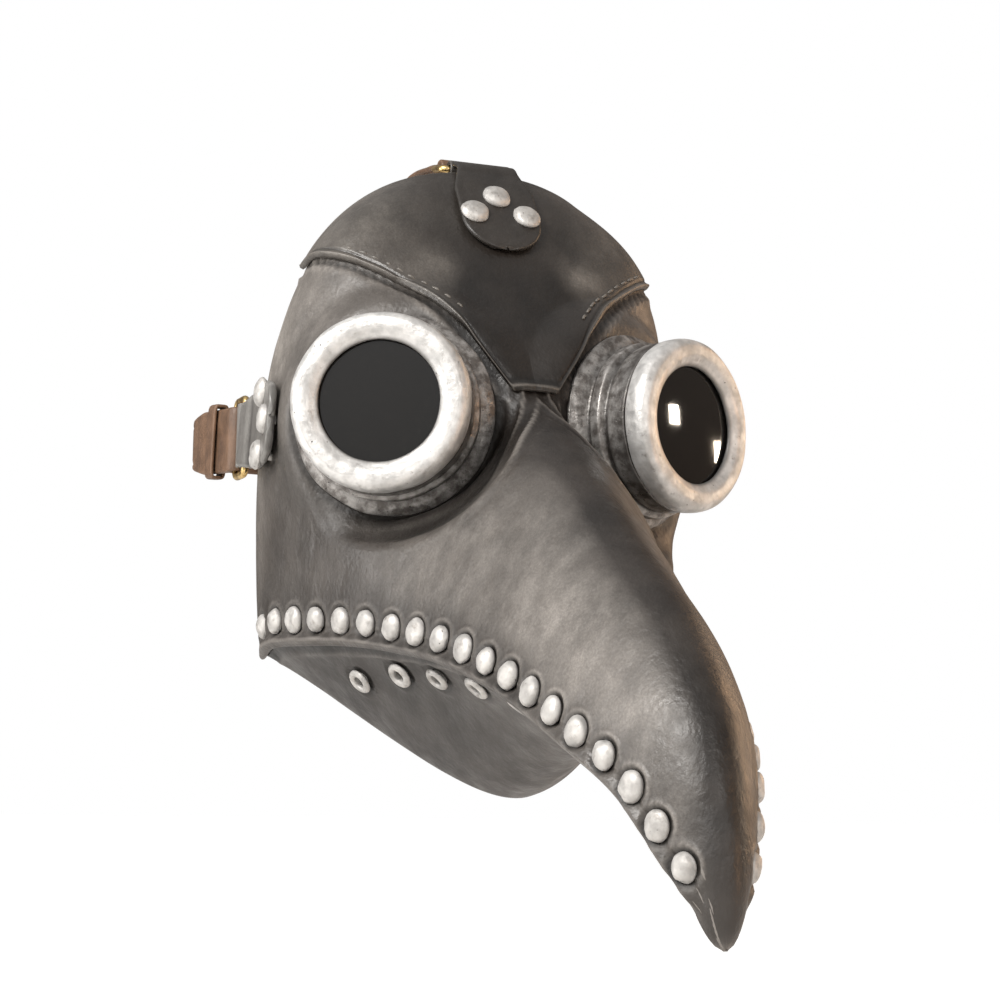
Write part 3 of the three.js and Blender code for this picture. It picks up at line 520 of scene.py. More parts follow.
class Look:
    """One procedural material, built node by node."""

    def __init__(self, name, **constants):
        self.material = bpy.data.materials.new(name)
        self.material.use_nodes = True
        self.tree = self.material.node_tree
        self.shader = self.tree.nodes["Principled BSDF"]
        self.place = self.node("ShaderNodeTexCoord").outputs["Object"]
        for socket, value in constants.items():
            self.shader.inputs[socket.replace("_", " ")].default_value = value

    def node(self, kind, inputs=None, **settings):
        made = self.tree.nodes.new(kind)
        for key, value in settings.items():
            setattr(made, key, value)
        for key, value in (inputs or {}).items():
            self.feed(made.inputs[key], value)
        return made

    def feed(self, socket, value):
        if isinstance(value, bpy.types.NodeSocket):
            self.tree.links.new(value, socket)
        else:
            socket.default_value = value

    def noise(self, size, detail=4.0, stretch=(1, 1, 1), rough=0.55):
        """Noise from 0 to 1 with features about size mm across, stretched along the axes."""
        place = self.node("ShaderNodeMapping", {"Vector": self.place, "Scale": [1 / k for k in stretch]})
        made = self.node("ShaderNodeTexNoise", {
            "Vector": place.outputs[0], "Scale": 1 / (size * MM), "Detail": detail, "Roughness": rough})
        return made.outputs["Fac"]

    def cells(self, size, stretch=(1, 1, 1), feature="SMOOTH_F1"):
        """Distance field of small cells about size mm across."""
        place = self.node("ShaderNodeMapping", {"Vector": self.place, "Scale": [1 / k for k in stretch]})
        made = self.node("ShaderNodeTexVoronoi", {
            "Vector": place.outputs[0], "Scale": 1 / (size * MM)}, feature=feature)
        return made.outputs["Distance"]

    def remap(self, value, low, high, to_low=0.0, to_high=1.0):
        made = self.node("ShaderNodeMapRange", {
            "Value": value, "From Min": low, "From Max": high, "To Min": to_low, "To Max": to_high},
            interpolation_type="SMOOTHSTEP")
        return made.outputs[0]

    def math(self, operation, a, b=0.0):
        return self.node("ShaderNodeMath", {0: a, 1: b}, operation=operation).outputs[0]

    def mark(self, name):
        """A number painted on the mesh's points."""
        return self.node("ShaderNodeAttribute", attribute_name=name).outputs["Fac"]

    def pointed(self, low, high):
        """1 on sharp outer edges, 0 on flats."""
        return self.remap(self.node("ShaderNodeNewGeometry").outputs["Pointiness"], low, high)

    def mix(self, factor, a, b):
        made = self.node("ShaderNodeMix", {"Factor": factor}, data_type="RGBA")
        self.feed(made.inputs[6], rgba(a))
        self.feed(made.inputs[7], rgba(b))
        return made.outputs[2]

    def colour(self, value):
        self.feed(self.shader.inputs["Base Color"], value)

    def roughness(self, value):
        self.feed(self.shader.inputs["Roughness"], value)

    def relief(self, layers):
        """Bump from (height, depth in mm) layers, fine layers last."""
        normal = None
        for height, depth in layers:
            made = self.node("ShaderNodeBump", {"Height": height, "Distance": depth * MM})
            if normal:
                self.feed(made.inputs["Normal"], normal)
            normal = made.outputs[0]
        self.feed(self.shader.inputs["Normal"], normal)


def rgba(value):
    """A colour given as (r, g, b), or a socket as it is."""
    return value if isinstance(value, bpy.types.NodeSocket) else (*value, 1.0)


def weathered_leather(name, dark, mid, pale, grain=0.16, gloss=0.42, dust_and_sheen=1.0):
    """Moulded leather: a mottled middle tone, pale dry-brushed paintwork rubbed on what stands out together
    with painted highlights and sheen, and painted shade in the hollows.
    """
    look = Look(name, Specular_IOR_Level=0.40, Coat_Weight=0.05, Coat_Roughness=0.34)
    cloud = look.remap(look.noise(38, 5), 0.34, 0.68)
    blot = look.remap(look.noise(12, 6, (1, 1, 1.2)), 0.40, 0.70)
    rubbed = look.remap(look.noise(10, 7, (1, 1, 1.5), 0.62), 0.32, 0.74)
    grit = look.remap(look.noise(0.8, 3), 0.35, 0.72)
    base = look.mix(cloud, dark, mid)
    base = look.mix(look.math("MULTIPLY", blot, 0.5), base, mid)
    # The pale mark carries rubbed paintwork together with painted highlights and sheen; the next lines scale
    # it and mix it in.
    brushed = look.math("MULTIPLY", look.math("ADD", look.math("MULTIPLY", rubbed, 0.50), 0.50), dust_and_sheen)
    rubbed_paint_and_highlight = look.math("MULTIPLY", look.mark("pale"), brushed)
    rubbed_paint_and_highlight = look.math("MULTIPLY", rubbed_paint_and_highlight, look.math("ADD", look.math("MULTIPLY", grit, 0.30), 0.72))
    edge = look.math("MULTIPLY", look.pointed(0.505, 0.56), 0.45)
    base = look.mix(look.math("MAXIMUM", rubbed_paint_and_highlight, edge), base, pale)
    # The shade mark darkens the colour as painted shade in hollows, grooves and under overhangs.
    shade = look.math("MULTIPLY", look.mark("shade"), 0.92)
    look.colour(look.mix(shade, base, tuple(0.25 * c for c in dark)))
    look.roughness(look.remap(look.noise(9, 5), 0.3, 0.7, gloss - 0.06, gloss + 0.14))
    pebble = look.cells(1.5, (1, 1, 1.3))
    pores = look.cells(0.6)
    crease = look.noise(4.5, 4, (1, 1, 1.3))
    look.relief([(crease, 0.35), (pebble, grain), (pores, 0.35 * grain)])
    return look.material


def painted_silver(name, pale, dark, wear=0.5, gloss=0.36):
    """White-silver paintwork over dark metal, with specks, pits and brushed streaks, and painted shade where
    the shade mark is set.
    """
    look = Look(name, Metallic=0.55, Specular_IOR_Level=0.6)
    tone = look.remap(look.noise(5.5, 6), 0.28, 0.72)
    specks = look.remap(look.cells(2.4, feature="F1"), 0.15, 0.06)
    patches = look.remap(look.noise(8, 4), 0.50, 0.64)
    pits = look.math("MULTIPLY", specks, patches)
    streak = look.remap(look.noise(4.5, 6, (1, 1, 1), 0.66), 0.70 - wear * 0.36, 0.84 - wear * 0.22)
    base = look.mix(tone, tuple(0.62 * c for c in pale), pale)
    base = look.mix(look.math("MULTIPLY", streak, 0.8), base, dark)
    edge = look.math("MULTIPLY", look.pointed(0.51, 0.56), 0.35)
    base = look.mix(edge, base, tuple(min(1.0, 1.3 * c) for c in pale))
    base = look.mix(pits, base, tuple(0.3 * c for c in dark))
    # The shade mark darkens steps and corners as painted shade.
    look.colour(look.mix(look.math("MULTIPLY", look.mark("shade"), 0.9), base, tuple(0.3 * c for c in dark)))
    look.roughness(look.remap(look.noise(3, 5), 0.3, 0.7, gloss - 0.06, gloss + 0.16))
    look.relief([(look.noise(2.6, 6), 0.28), (pits, -0.25)])
    return look.material


def smooth_leather(name, low, high, gloss=0.45):
    """Smooth strap leather with fine pores and rubbed patches."""
    look = Look(name, Specular_IOR_Level=0.45)
    tone = look.remap(look.noise(11, 6, (1, 1, 1)), 0.32, 0.70)
    fine = look.remap(look.noise(1.3, 4), 0.35, 0.7)
    base = look.mix(tone, low, high)
    base = look.mix(look.math("MULTIPLY", fine, 0.25), base, tuple(1.25 * c for c in high))
    edge = look.pointed(0.51, 0.58)
    look.colour(look.mix(look.math("MULTIPLY", edge, 0.4), base, tuple(1.7 * c for c in high)))
    look.roughness(look.remap(look.noise(5, 4), 0.3, 0.7, gloss - 0.06, gloss + 0.14))
    look.relief([(look.noise(6, 3), 0.25), (look.cells(0.7), 0.05)])
    return look.material


def worn_brass(name):
    look = Look(name, Metallic=1.0)
    tone = look.remap(look.noise(3.5, 5), 0.35, 0.68)
    base = look.mix(tone, (0.32, 0.21, 0.08), (0.72, 0.53, 0.24))
    tarnish = look.remap(look.noise(6, 6), 0.56, 0.72)
    look.colour(look.mix(look.math("MULTIPLY", tarnish, 0.7), base, (0.10, 0.07, 0.045)))
    look.roughness(look.remap(look.noise(2, 4), 0.3, 0.7, 0.22, 0.42))
    look.relief([(look.noise(1.2, 4), 0.06)])
    return look.material


def dark_lens(name):
    """Near-black glossy lens with faint smears."""
    look = Look(name, Specular_IOR_Level=0.5, Coat_Weight=0.4, Coat_Roughness=0.03)
    dust_and_sheen = look.remap(look.noise(2.2, 6), 0.60, 0.80)
    look.colour(look.mix(look.math("MULTIPLY", dust_and_sheen, 0.35), (0.005, 0.0045, 0.004), (0.02, 0.018, 0.016)))
    look.roughness(look.remap(look.noise(14, 4), 0.35, 0.7, 0.02, 0.05))
    look.relief([(look.noise(16, 2), 0.02)])
    return look.material


def black_rubber(name):
    look = Look(name, Specular_IOR_Level=0.35)
    tone = look.remap(look.noise(4, 4), 0.3, 0.7)
    look.colour(look.mix(tone, (0.010, 0.010, 0.010), (0.03, 0.029, 0.028)))
    look.roughness(look.remap(look.noise(2, 3), 0.3, 0.7, 0.55, 0.75))
    look.relief([(look.noise(0.8, 3), 0.05)])
    return look.material


SHELL = weathered_leather("shell_leather", (0.0085, 0.0064, 0.0050), (0.027, 0.0222, 0.0188),
                          (0.30, 0.275, 0.250))
BROW = weathered_leather("brow_leather", (0.0055, 0.0040, 0.0030), (0.0160, 0.0125, 0.0100),
                         (0.20, 0.182, 0.162),
                         grain=0.10, gloss=0.36)
JAW = weathered_leather("jaw_leather", (0.0065, 0.0052, 0.0045), (0.0185, 0.0155, 0.0138),
                        (0.17, 0.157, 0.145),
                        grain=0.07, gloss=0.42)
TAB = weathered_leather("tab_leather", (0.020, 0.018, 0.017), (0.065, 0.060, 0.055), (0.36, 0.35, 0.33),
                        grain=0.08, gloss=0.34)
BEZEL = painted_silver("bezel_paint", (0.60, 0.59, 0.575), (0.15, 0.13, 0.115), wear=0.30, gloss=0.40)
BARREL = painted_silver("barrel_paint", (0.36, 0.345, 0.33), (0.035, 0.026, 0.020), wear=0.95, gloss=0.32)
STUDS = painted_silver("rivet_paint", (0.50, 0.485, 0.465), (0.15, 0.135, 0.12), wear=0.50, gloss=0.52)
STRAPS = smooth_leather("strap_leather", (0.060, 0.032, 0.018), (0.125, 0.070, 0.040))
BRASS = worn_brass("worn_brass")
LENS = dark_lens("dark_lens")
RUBBER = black_rubber("black_rubber")

# ------------------------------------------------------------------ relief of the skin


def rivet_distance(points):
    """Distance from the nearest mouth rivet, and how far to its upper front side a point lies."""
    mirrored = on_right(points)
    nearest = np.full(points.shape[:-1], 1e9)
    side = np.zeros(points.shape[:-1])
    for centre in RIVET_POINTS:
        offset = mirrored - centre
        distance = np.linalg.norm(offset, axis=-1)
        closer = distance < nearest
        nearest = np.where(closer, distance, nearest)
        side = np.where(closer, (offset[..., 2] - offset[..., 1]) / 9, side)
    return nearest, side


def seam_offset(points):
    """Signed distance from the brow seam in [x, z]: positive on the brow side."""
    flat = np.stack([np.abs(points[..., 0]), points[..., 2]], -1)
    nearest = np.full(points.shape[:-1], 1e9)
    for knot in SEAM_XZ[::2]:
        nearest = np.minimum(nearest, np.linalg.norm(flat - knot, axis=-1))
    return np.where(flat[..., 1] > seam_height(flat[..., 0]), nearest, -nearest)


def shell_relief(points, t, lip):
    """Height of the relief in mm, and the marks for pale paintwork with painted highlights and sheen, and
    for deep painted shade.
    """
    x, y, z = (points[..., k] for k in range(3))
    height = 0.55 * ripple(points, 34, 1) + 0.22 * ripple(points, 11, 2) + 0.07 * ripple(points, 4, 3)
    # pale starts as rubbed paintwork at random; the terms below add painted highlights and sheen.
    pale = 0.13 + 0.13 * ripple(points, 46, 4) + 0.07 * ripple(points, 17, 5)
    shade = np.zeros_like(x)

    # Each rivet sits in a socket painted darker as shade, its raised rim painted pale as a highlight,
    # strongest on the upper front side.
    distance, upper_side = rivet_distance(points)
    well = 1 - ramp(distance, 4.6, 6.3)
    height -= 0.9 * well
    rim = bump(distance - 6.7, 1.2) * (0.30 + 0.70 * ramp(upper_side, -0.1, 0.5))
    height += 0.38 * rim
    shade = np.maximum(shade, well)
    pale += 0.40 * rim

    height += 1.3 * bump(lip - 2.4, 2.6) * ramp(t, 0.0, 0.6)
    height -= 0.5 * bump(lip - 6.0, 2.0)
    pale += 0.25 * bump(lip - 1.6, 1.8) * ramp(t, TIP, TIP - 2)

    seam = seam_offset(points)
    on_face = ramp(-seam, -0.5, 0.8)
    beside_nose = ramp(np.abs(x), 6, 16)
    ridge = bump(seam + 4.3, 1.7) * on_face * beside_nose
    groove = bump(seam + 1.6, 1.8) * (0.25 + 0.75 * beside_nose)
    height += 0.85 * ridge - 1.0 * groove
    # The seam's groove is painted darker as shade; the ridge beside it is painted pale, as rubbed paintwork
    # and painted highlight.
    shade = np.maximum(shade, groove * 0.9)
    pale += 0.65 * ridge * (0.5 + 0.5 * ripple(points, 7, 8))

    radius, angle = eye_polar(points)
    below = bump(np.abs(((angle + 112) + 180) % 360 - 180), 62)
    bag = bump(radius - 41.0, 4.6) * below
    under_bag = bump(radius - 46.4, 2.4) * below
    height += 2.6 * bag - 0.9 * under_bag
    # Round each eyepiece: painted highlights on the bag's crest and the folds' crests, and painted shade in
    # the hollow round the flange's lower side and in the crease below the bag.
    pale += 0.35 * bump(radius - 43.2, 1.5) * below
    shade = np.maximum(shade, 0.75 * bump(radius - 38.2, 2.4) * ramp(-z, -6, 8))
    shade = np.maximum(shade, 0.6 * under_bag)
    inward = bump(np.abs(((angle - 188) + 180) % 360 - 180), 75)
    for fold_radius, depth in ((41.5, 0.8), (46.0, 1.0), (51.5, 0.7)):
        waved = fold_radius + 1.3 * ripple(points, 15, 9)
        height += depth * bump(radius - waved, 1.9) * inward
        height -= 0.6 * depth * bump(radius - waved - 2.2, 1.6) * inward
        pale += 0.22 * bump(radius - waved, 1.3) * inward

    cheek = ramp(-y, 110, 30) * ramp(z, 30, -40)
    crease = np.abs(ripple(points * [1, 1, 0.45], 15, 12))
    height -= 0.30 * ramp(crease, 0.10, 0.0) * cheek

    # Painted highlight and sheen along the back rim, on the temples and over the beak's flanks; pale is
    # taken back between the eyes, on the beak's upper sides and along its middle, which stay dark as painted
    # shade.
    near_rim = ramp(t, 1.5, 0.0)
    pale += 0.40 * near_rim * ramp(z, -95, 10)
    temple = ramp(t, 3.2, 0.6) * ramp(z, -60, 20)
    pale += 0.30 * temple
    beak = ramp(-y, 120, 185)
    flank = ramp(np.abs(x), 5, 17)
    pale += 0.34 * beak * flank * ramp(lip, 8, 26)
    pale += 0.30 * ramp(-y, 85, 110) * ramp(np.abs(x), 12, 30) * ramp(lip, 9, 24)
    between_eyes = bump(x, 34) * ramp(-y, 60, 80) * ramp(z, -40, -5)
    pale -= 0.60 * between_eyes + 0.12 * bump(np.abs(x) - 30, 26) * ramp(-y, 60, 85) * ramp(-y, 190, 150)
    ridge_line = bump(x, 13) * ramp(-y, 95, 150)
    pale -= 0.30 * ridge_line
    # Painted shade over the middle of the face about the eyes, and in a band above the mouth line over the
    # cheeks, fading towards the beak and left out of the rivet sockets.
    shade = np.maximum(shade, 0.45 * bump(x, 42) * bump(z - 5, 42) * ramp(t, 5, 2.5))
    shade = np.maximum(shade, 0.30 * bump(lip - 12, 16) * ramp(t, 8, 3) * (1 - well))
    return height, np.clip(pale, 0, 1), np.clip(shade, 0, 1)


def rounded_tip(points, t, v):
    """Points of the last section drawn in to a round bullet end, and how far along it they lie."""
    ring = skin(np.full_like(t, TIP - 1.0), v)
    along_tip = np.clip(t - (TIP - 1), 0, 1)[..., None]
    axis = TIP_START + along_tip * (TIP_END - TIP_START)
    bullet = axis + (ring - TIP_START) * np.sqrt(1 - 0.985 * along_tip)
    return np.where(t[..., None] > TIP - 1, bullet, points), along_tip[..., 0]


def add_face_shell():
    t, v, rim, lip = face_grid(columns=124, t_end=TIP)
    points, along_tip = rounded_tip(skin(t, v), t, v)
    along_tip = both_halves(along_tip)
    normals = outward(t, v, 0)
    points, normals = both_halves(points, True), both_halves(normals, True)
    t, rim, lip = both_halves(t), both_halves(rim), both_halves(lip)
    height, pale, shade = shell_relief(points, t, lip)
    half_width = np.abs(along(t)[..., 2])
    wall = np.minimum(SKIN, 0.6 * half_width) * (1 - 0.9 * along_tip)
    under = points - normals * wall[..., None]
    drawn_in = np.maximum(inset(rim, SKIN), inset(lip, SKIN))
    calm = ramp(np.minimum(rim, lip), 0, 2)
    solid_tip = ramp(t, TIP - 1.4, TIP - 0.9)
    calm, drawn_in = calm * (1 - solid_tip), drawn_in * (1 - solid_tip)
    outer = points + normals * (height * calm - drawn_in)[..., None]
    inner = under + normals * np.minimum(drawn_in, 0.48 * wall)[..., None]

    radius, _ = eye_polar(points)
    near_eye = np.abs(points[..., 1] - EYE_SEAT[1]) < 45
    hole = (radius < EYE_HOLE) & near_eye
    keep = ~(hole[:-1, :-1] | hole[1:, :-1] | hole[:-1, 1:] | hole[1:, 1:])
    sheet_points, faces, used = sheet(outer, inner, keep)
    tip_points, tip_faces = beak_tip(outer, len(sheet_points), used)
    marks = {"pale": pale, "shade": shade}
    painted = {}
    for name, values in marks.items():
        both = np.concatenate([values.ravel(), 0.25 * values.ravel()])[used]
        painted[name] = np.concatenate([both, np.full(len(tip_points), values[-1].mean())])
    points = np.concatenate([sheet_points, tip_points])
    return mesh_piece("face_shell_skin", points, faces + tip_faces, SHELL, "mask", "face_shell", painted)


def beak_tip(outer, first, used):
    """A blunt round cap over the last section, as points and faces numbered from first."""
    rows, cols = outer.shape[:2]
    place = {old: new for new, old in enumerate(used.tolist())}
    ring = outer[-1]
    middle = ring.mean(axis=0)
    forward = unit((outer[-1] - outer[-4]).mean(axis=0))
    points, faces = [], []
    last = [place[(rows - 1) * cols + k] for k in range(cols)]
    steps = 6
    for step in range(1, steps):
        turn = math.radians(90 * step / steps)
        points.append(middle + (ring - middle) * math.cos(turn) + forward * TIP_CAP * math.sin(turn))
        now = [first + (step - 1) * cols + k for k in range(cols)]
        for k in range(cols):
            following = (k + 1) % cols
            faces.append((last[k], now[k], now[following], last[following]))
        last = now
    hub = first + (steps - 1) * cols
    points.append((middle + forward * TIP_CAP)[None])
    faces += [(last[k], hub, last[(k + 1) % cols]) for k in range(cols)]
    return np.concatenate(points), faces


# ------------------------------------------------------------------ brow panel and its stitching


def seam_reach(v_values):
    """Section position t where the brow seam crosses each line of constant v, 0 where it doesn't."""
    t = np.linspace(0, 5, 1200)
    reach = []
    for v in v_values:
        points = skin(t, np.full_like(t, v))
        inside = points[:, 2] > seam_height(points[:, 0])
        outside = np.nonzero(~inside)[0]
        reach.append(t[outside[0]] if len(outside) else t[-1])
    return np.array(reach)


def clear_of_flange(points, clearance):
    """Moves points that would lie under an eyepiece's flange out to its edge."""
    side = np.sign(points[..., :1]) * [1, 0, 0] + np.array([0, 1, 1])
    mirrored = points * side
    offset = mirrored - EYE_SEAT
    height = (offset @ EYE_AXIS)[..., None] * EYE_AXIS
    flat = offset - height
    radius = np.linalg.norm(flat, axis=-1, keepdims=True)
    return (EYE_SEAT + height + unit(flat) * np.maximum(radius, clearance)) * side


def add_brow_panel():
    v_fine = np.linspace(0, 1, 900)
    reach = seam_reach(v_fine)
    v_end = v_fine[np.nonzero(reach > 0.03)[0][-1]]
    columns, rows = 110, 96
    v_columns = v_end * (1 - np.linspace(0, 1, columns))
    t_reach = np.interp(v_columns, v_fine, reach)
    edge = np.array(EDGE_ROWS)
    t_grid, rim_grid = [], []
    for v, end in zip(v_columns, t_reach):
        fine = np.linspace(0, end, 300)
        curve = skin(fine, np.full(300, v))
        run = run_along(curve)
        near = min(1.0, run[-1] / 6)
        middle = np.linspace(edge[-1] * near, run[-1] - edge[-1] * near, rows - 8)
        stops = np.concatenate([edge[:-1] * near, middle, run[-1] - edge[-2::-1] * near])
        t_grid.append(np.interp(stops, run, fine))
        rim_grid.append(np.stack([stops, run[-1] - stops], -1))
    t = np.array(t_grid).T
    ends = np.array(rim_grid).transpose(1, 0, 2)
    v = np.repeat(v_columns[None], t.shape[0], 0)
    points, normals = skin(t, v), outward(t, v, 0)
    points, normals = both_halves(points, True), both_halves(normals, True)
    from_rim, from_seam = both_halves(ends[..., 0]), both_halves(ends[..., 1])
    x, z = points[..., 0], points[..., 2]
    height = 0.5 * ripple(points, 34, 1) + 0.16 * ripple(points, 12, 21)
    height += 0.75 * bump(from_seam - 1.7, 1.6) - 0.35 * bump(from_seam - 4.4, 1.7)
    drawn_in = np.maximum(inset(from_rim, PANEL), inset(from_seam, PANEL))
    calm = ramp(np.minimum(from_rim, from_seam), 0, 1.2)
    low = GAP + np.minimum(drawn_in, 0.48 * PANEL)
    high = GAP + PANEL - np.minimum(drawn_in, 0.48 * PANEL) + height * calm
    outer = clear_of_flange(points + normals * np.maximum(high, low + 0.1)[..., None], FLANGE + 0.8)
    inner = clear_of_flange(points + normals * low[..., None], FLANGE + 0.8)
    # pale: rubbed paintwork, with painted sheen on the brow's sides and near its rim, a painted highlight
    # patch on each side and less in the middle; the seam's raised edge is pale as rubbed paintwork and
    # painted highlight. shade: painted shade behind the seam's edge and over the middle of the forehead.
    sides = ramp(np.abs(x), 18, 58)
    pale = 0.10 + 0.10 * ripple(points, 30, 22) + 0.42 * sides + 0.5 * bump(from_seam - 1.6, 1.5)
    pale += 0.35 * ramp(from_rim, 14, 0) * sides
    patch = np.exp(-(((np.abs(x) - 29) / 8) ** 2 + ((z - 51) / 7) ** 2))
    pale += 0.55 * patch
    pale -= 0.5 * bump(x, 34) * ramp(z, 70, 30)
    shade = 0.6 * bump(from_seam - 4.6, 1.5) + 0.30 * np.exp(-((x / 30) ** 2 + ((z - 40) / 26) ** 2))
    sheet_points, faces, used = sheet(outer, inner)
    marks = {"pale": np.clip(np.concatenate([pale.ravel()] * 2), 0, 1)[used],
             "shade": np.clip(np.concatenate([shade.ravel()] * 2), 0, 1)[used]}
    mesh_piece("brow_panel_skin", sheet_points, faces, BROW, "mask", "brow_panel", marks)


def add_brow_stitches():
    """Short raised stitches that follow the seam on the brow, on both sides."""
    line = SEAM_XZ[(SEAM_XZ[:, 0] > 27) & (SEAM_XZ[:, 0] < 66)]
    run = run_along(line)
    parts = []
    for k, start in enumerate(np.arange(0, run[-1] - 4, 4.4)):
        for _, side in SIDES:
            ends = np.linspace(start, start + (2.6 if k % 3 else 1.8), 7)
            flat = np.stack([np.interp(ends, run, line[:, i]) for i in (0, 1)], -1)
            ahead = unit(np.gradient(flat, axis=0))
            flat = flat + np.stack([-ahead[:, 1], ahead[:, 0]], -1) * 4.6
            base, normal = on_skin(flat[:, 0], flat[:, 1])
            arch = np.sin(np.linspace(0, math.pi, 7)) * 0.55
            path = base + normal * (GAP + PANEL - 0.15 + arch)[:, None]
            parts.append(tube(path * [side, 1, 1], 0.55, sides=8))
    points, faces = merged(parts)
    marks = {"pale": np.full(len(points), 0.75), "shade": np.zeros(len(points))}
    stitches = mesh_piece("brow_stitches", points, faces, BROW, "mask", marks=marks)


def on_skin(x, z):
    """Points and normals of the right half of the forehead above given x and z."""
    t, v = np.meshgrid(np.linspace(0, 4, 161), np.linspace(0, 0.8, 241), indexing="ij")
    surface = skin(t, v)
    picked_t, picked_v = [], []
    for px, pz in zip(x, z):
        gap = (surface[..., 0] - px) ** 2 + (surface[..., 2] - pz) ** 2
        i, j = np.unravel_index(np.argmin(gap), gap.shape)
        picked_t.append(t[i, j])
        picked_v.append(v[i, j])
    t, v = np.array(picked_t), np.array(picked_v)
    points = skin(t, v)
    points[:, 0], points[:, 2] = x, z
    return points, outward(t, v, 0)


# ------------------------------------------------------------------ jaw and eyelets


def eyelet_frames(side):
    """Matrices of one side's jaw eyelets: z outwards, zero on the jaw's outer face."""
    frames = []
    for t, v in EYELETS:
        t, v = np.array([t]), np.array([v])
        point, normal = skin(t, v)[0], outward(t, v, 1)[0]
        place = point - normal * (SKIN + GAP)
        frames.append(frame_at(place * [side, 1, 1], normal * [side, 1, 1]))
    return frames


def add_jaw():
    rows, lap_rows, columns = 190, 10, 70
    t_rows = np.concatenate([[0, 0.006, 0.02, 0.04, 0.07], np.linspace(0.1, TIP - 0.15, rows)])
    t = np.repeat(t_rows[:, None], columns + lap_rows, 1)
    lap = JAW_LAP * (1 - np.linspace(0, 1, lap_rows, endpoint=False))
    upper, _ = section_corners(t_rows)
    reach = 3 * np.linalg.norm(upper[3] - upper[2], axis=-1)
    height_limit = np.minimum(lap[None] / reach[:, None], 0.45)
    under = np.repeat(1 + np.linspace(0, 1, columns)[None], len(t_rows), 0)
    v = np.concatenate([1 - height_limit, under], 1)
    face = v < 1
    normals = np.where(face[..., None], outward(t, np.minimum(v, 1), 0), outward(t, np.maximum(v, 1), 1))
    for _ in range(3):
        normals[:, 1:-1] = unit(normals[:, :-2] + 2 * normals[:, 1:-1] + normals[:, 2:])
    points, along_tip = rounded_tip(skin(t, v), t, v)
    half_width = along(t)[..., 2] * (1 - 0.6 * along_tip)
    tuck = np.minimum(SKIN + GAP, 0.42 * half_width)
    wall = np.minimum(JAW_SKIN, 0.35 * half_width)
    surface = points - normals * tuck[..., None]
    from_rim = np.repeat((t_rows * 26)[:, None], t.shape[1], 1)
    run = np.concatenate([np.zeros((len(t_rows), 1)),
                          np.cumsum(np.linalg.norm(np.diff(surface, axis=1), axis=-1), 1)], 1)
    surface, normals = both_halves(surface, True), both_halves(normals, True)
    run, from_rim, wall = both_halves(run), both_halves(from_rim), both_halves(wall)
    below_lip = run - JAW_LAP
    drawn_in = np.maximum(inset(from_rim, JAW_SKIN), inset(run, JAW_SKIN))
    drawn_in = np.minimum(drawn_in, 0.48 * wall)
    height = 0.45 * ripple(surface, 30, 31) + 0.12 * ripple(surface, 9, 32)
    height += 0.5 * bump(below_lip - 6.5, 2.2)
    nearest = np.full(surface.shape[:-1], 1e9)
    mirrored = on_right(surface)
    for matrix in eyelet_frames(1):
        nearest = np.minimum(nearest, np.linalg.norm(mirrored - matrix[:3, 3], axis=-1))
    height -= 0.5 * (1 - ramp(nearest, 5.0, 6.6))
    height += 0.45 * bump(nearest - 7.4, 1.6)
    calm = ramp(from_rim, 0, 2)
    outer = surface + normals * (height * calm - drawn_in)[..., None]
    inner = surface - normals * (wall - drawn_in)[..., None]
    # pale: rubbed paintwork, with painted sheen towards the front, paler on the ridge below the lip as
    # rubbed paintwork and painted highlight, and paler near the back edge; shade: painted shade just under
    # the shell's lip and round each eyelet.
    front = ramp(-surface[..., 1], 95, 150)
    pale = 0.10 + 0.12 * ripple(surface, 22, 33) + 0.40 * front + 0.5 * bump(below_lip - 6.5, 1.6)
    pale += 0.5 * ramp(from_rim, 7, 0)
    shade = np.maximum(bump(below_lip - 1.5, 4.5), 0.6 * (1 - ramp(nearest, 4.8, 6.4)))
    keep = np.ones((outer.shape[0] - 1, outer.shape[1] - 1), bool)
    hole = nearest < 3.4
    keep &= ~(hole[:-1, :-1] & hole[1:, :-1] & hole[:-1, 1:] & hole[1:, 1:])
    sheet_points, faces, used = sheet(outer, inner, keep)
    marks = {"pale": np.clip(np.concatenate([pale.ravel(), 0.2 * pale.ravel()]), 0, 1)[used],
             "shade": np.clip(np.concatenate([shade.ravel()] * 2), 0, 1)[used]}
    mesh_piece("jaw_panel_skin", sheet_points, faces, JAW, "mask", "jaw_panel", marks)


def add_eyelets():
    """Rolled metal eyelets, each a little oval and worn in its own way."""
    profile = rounded([
        (2.2, -3.2), (3.1, -3.2), (3.1, 0.4), (4.9, 0.4), (4.7, 1.3), (3.6, 2.1), (2.2, 1.5)], 0.6)
    for name, side in SIDES:
        for k, matrix in enumerate(eyelet_frames(side)):
            points, faces = lathe(profile, matrix, 48, wobble=0.30, seed=40 + k)
            mesh_piece(f"eyelet_{name}_{k + 1}", points, faces, STUDS, "mask", f"jaw_eyelet_{name}_{k + 1}")


# ------------------------------------------------------------------ mouth rivets


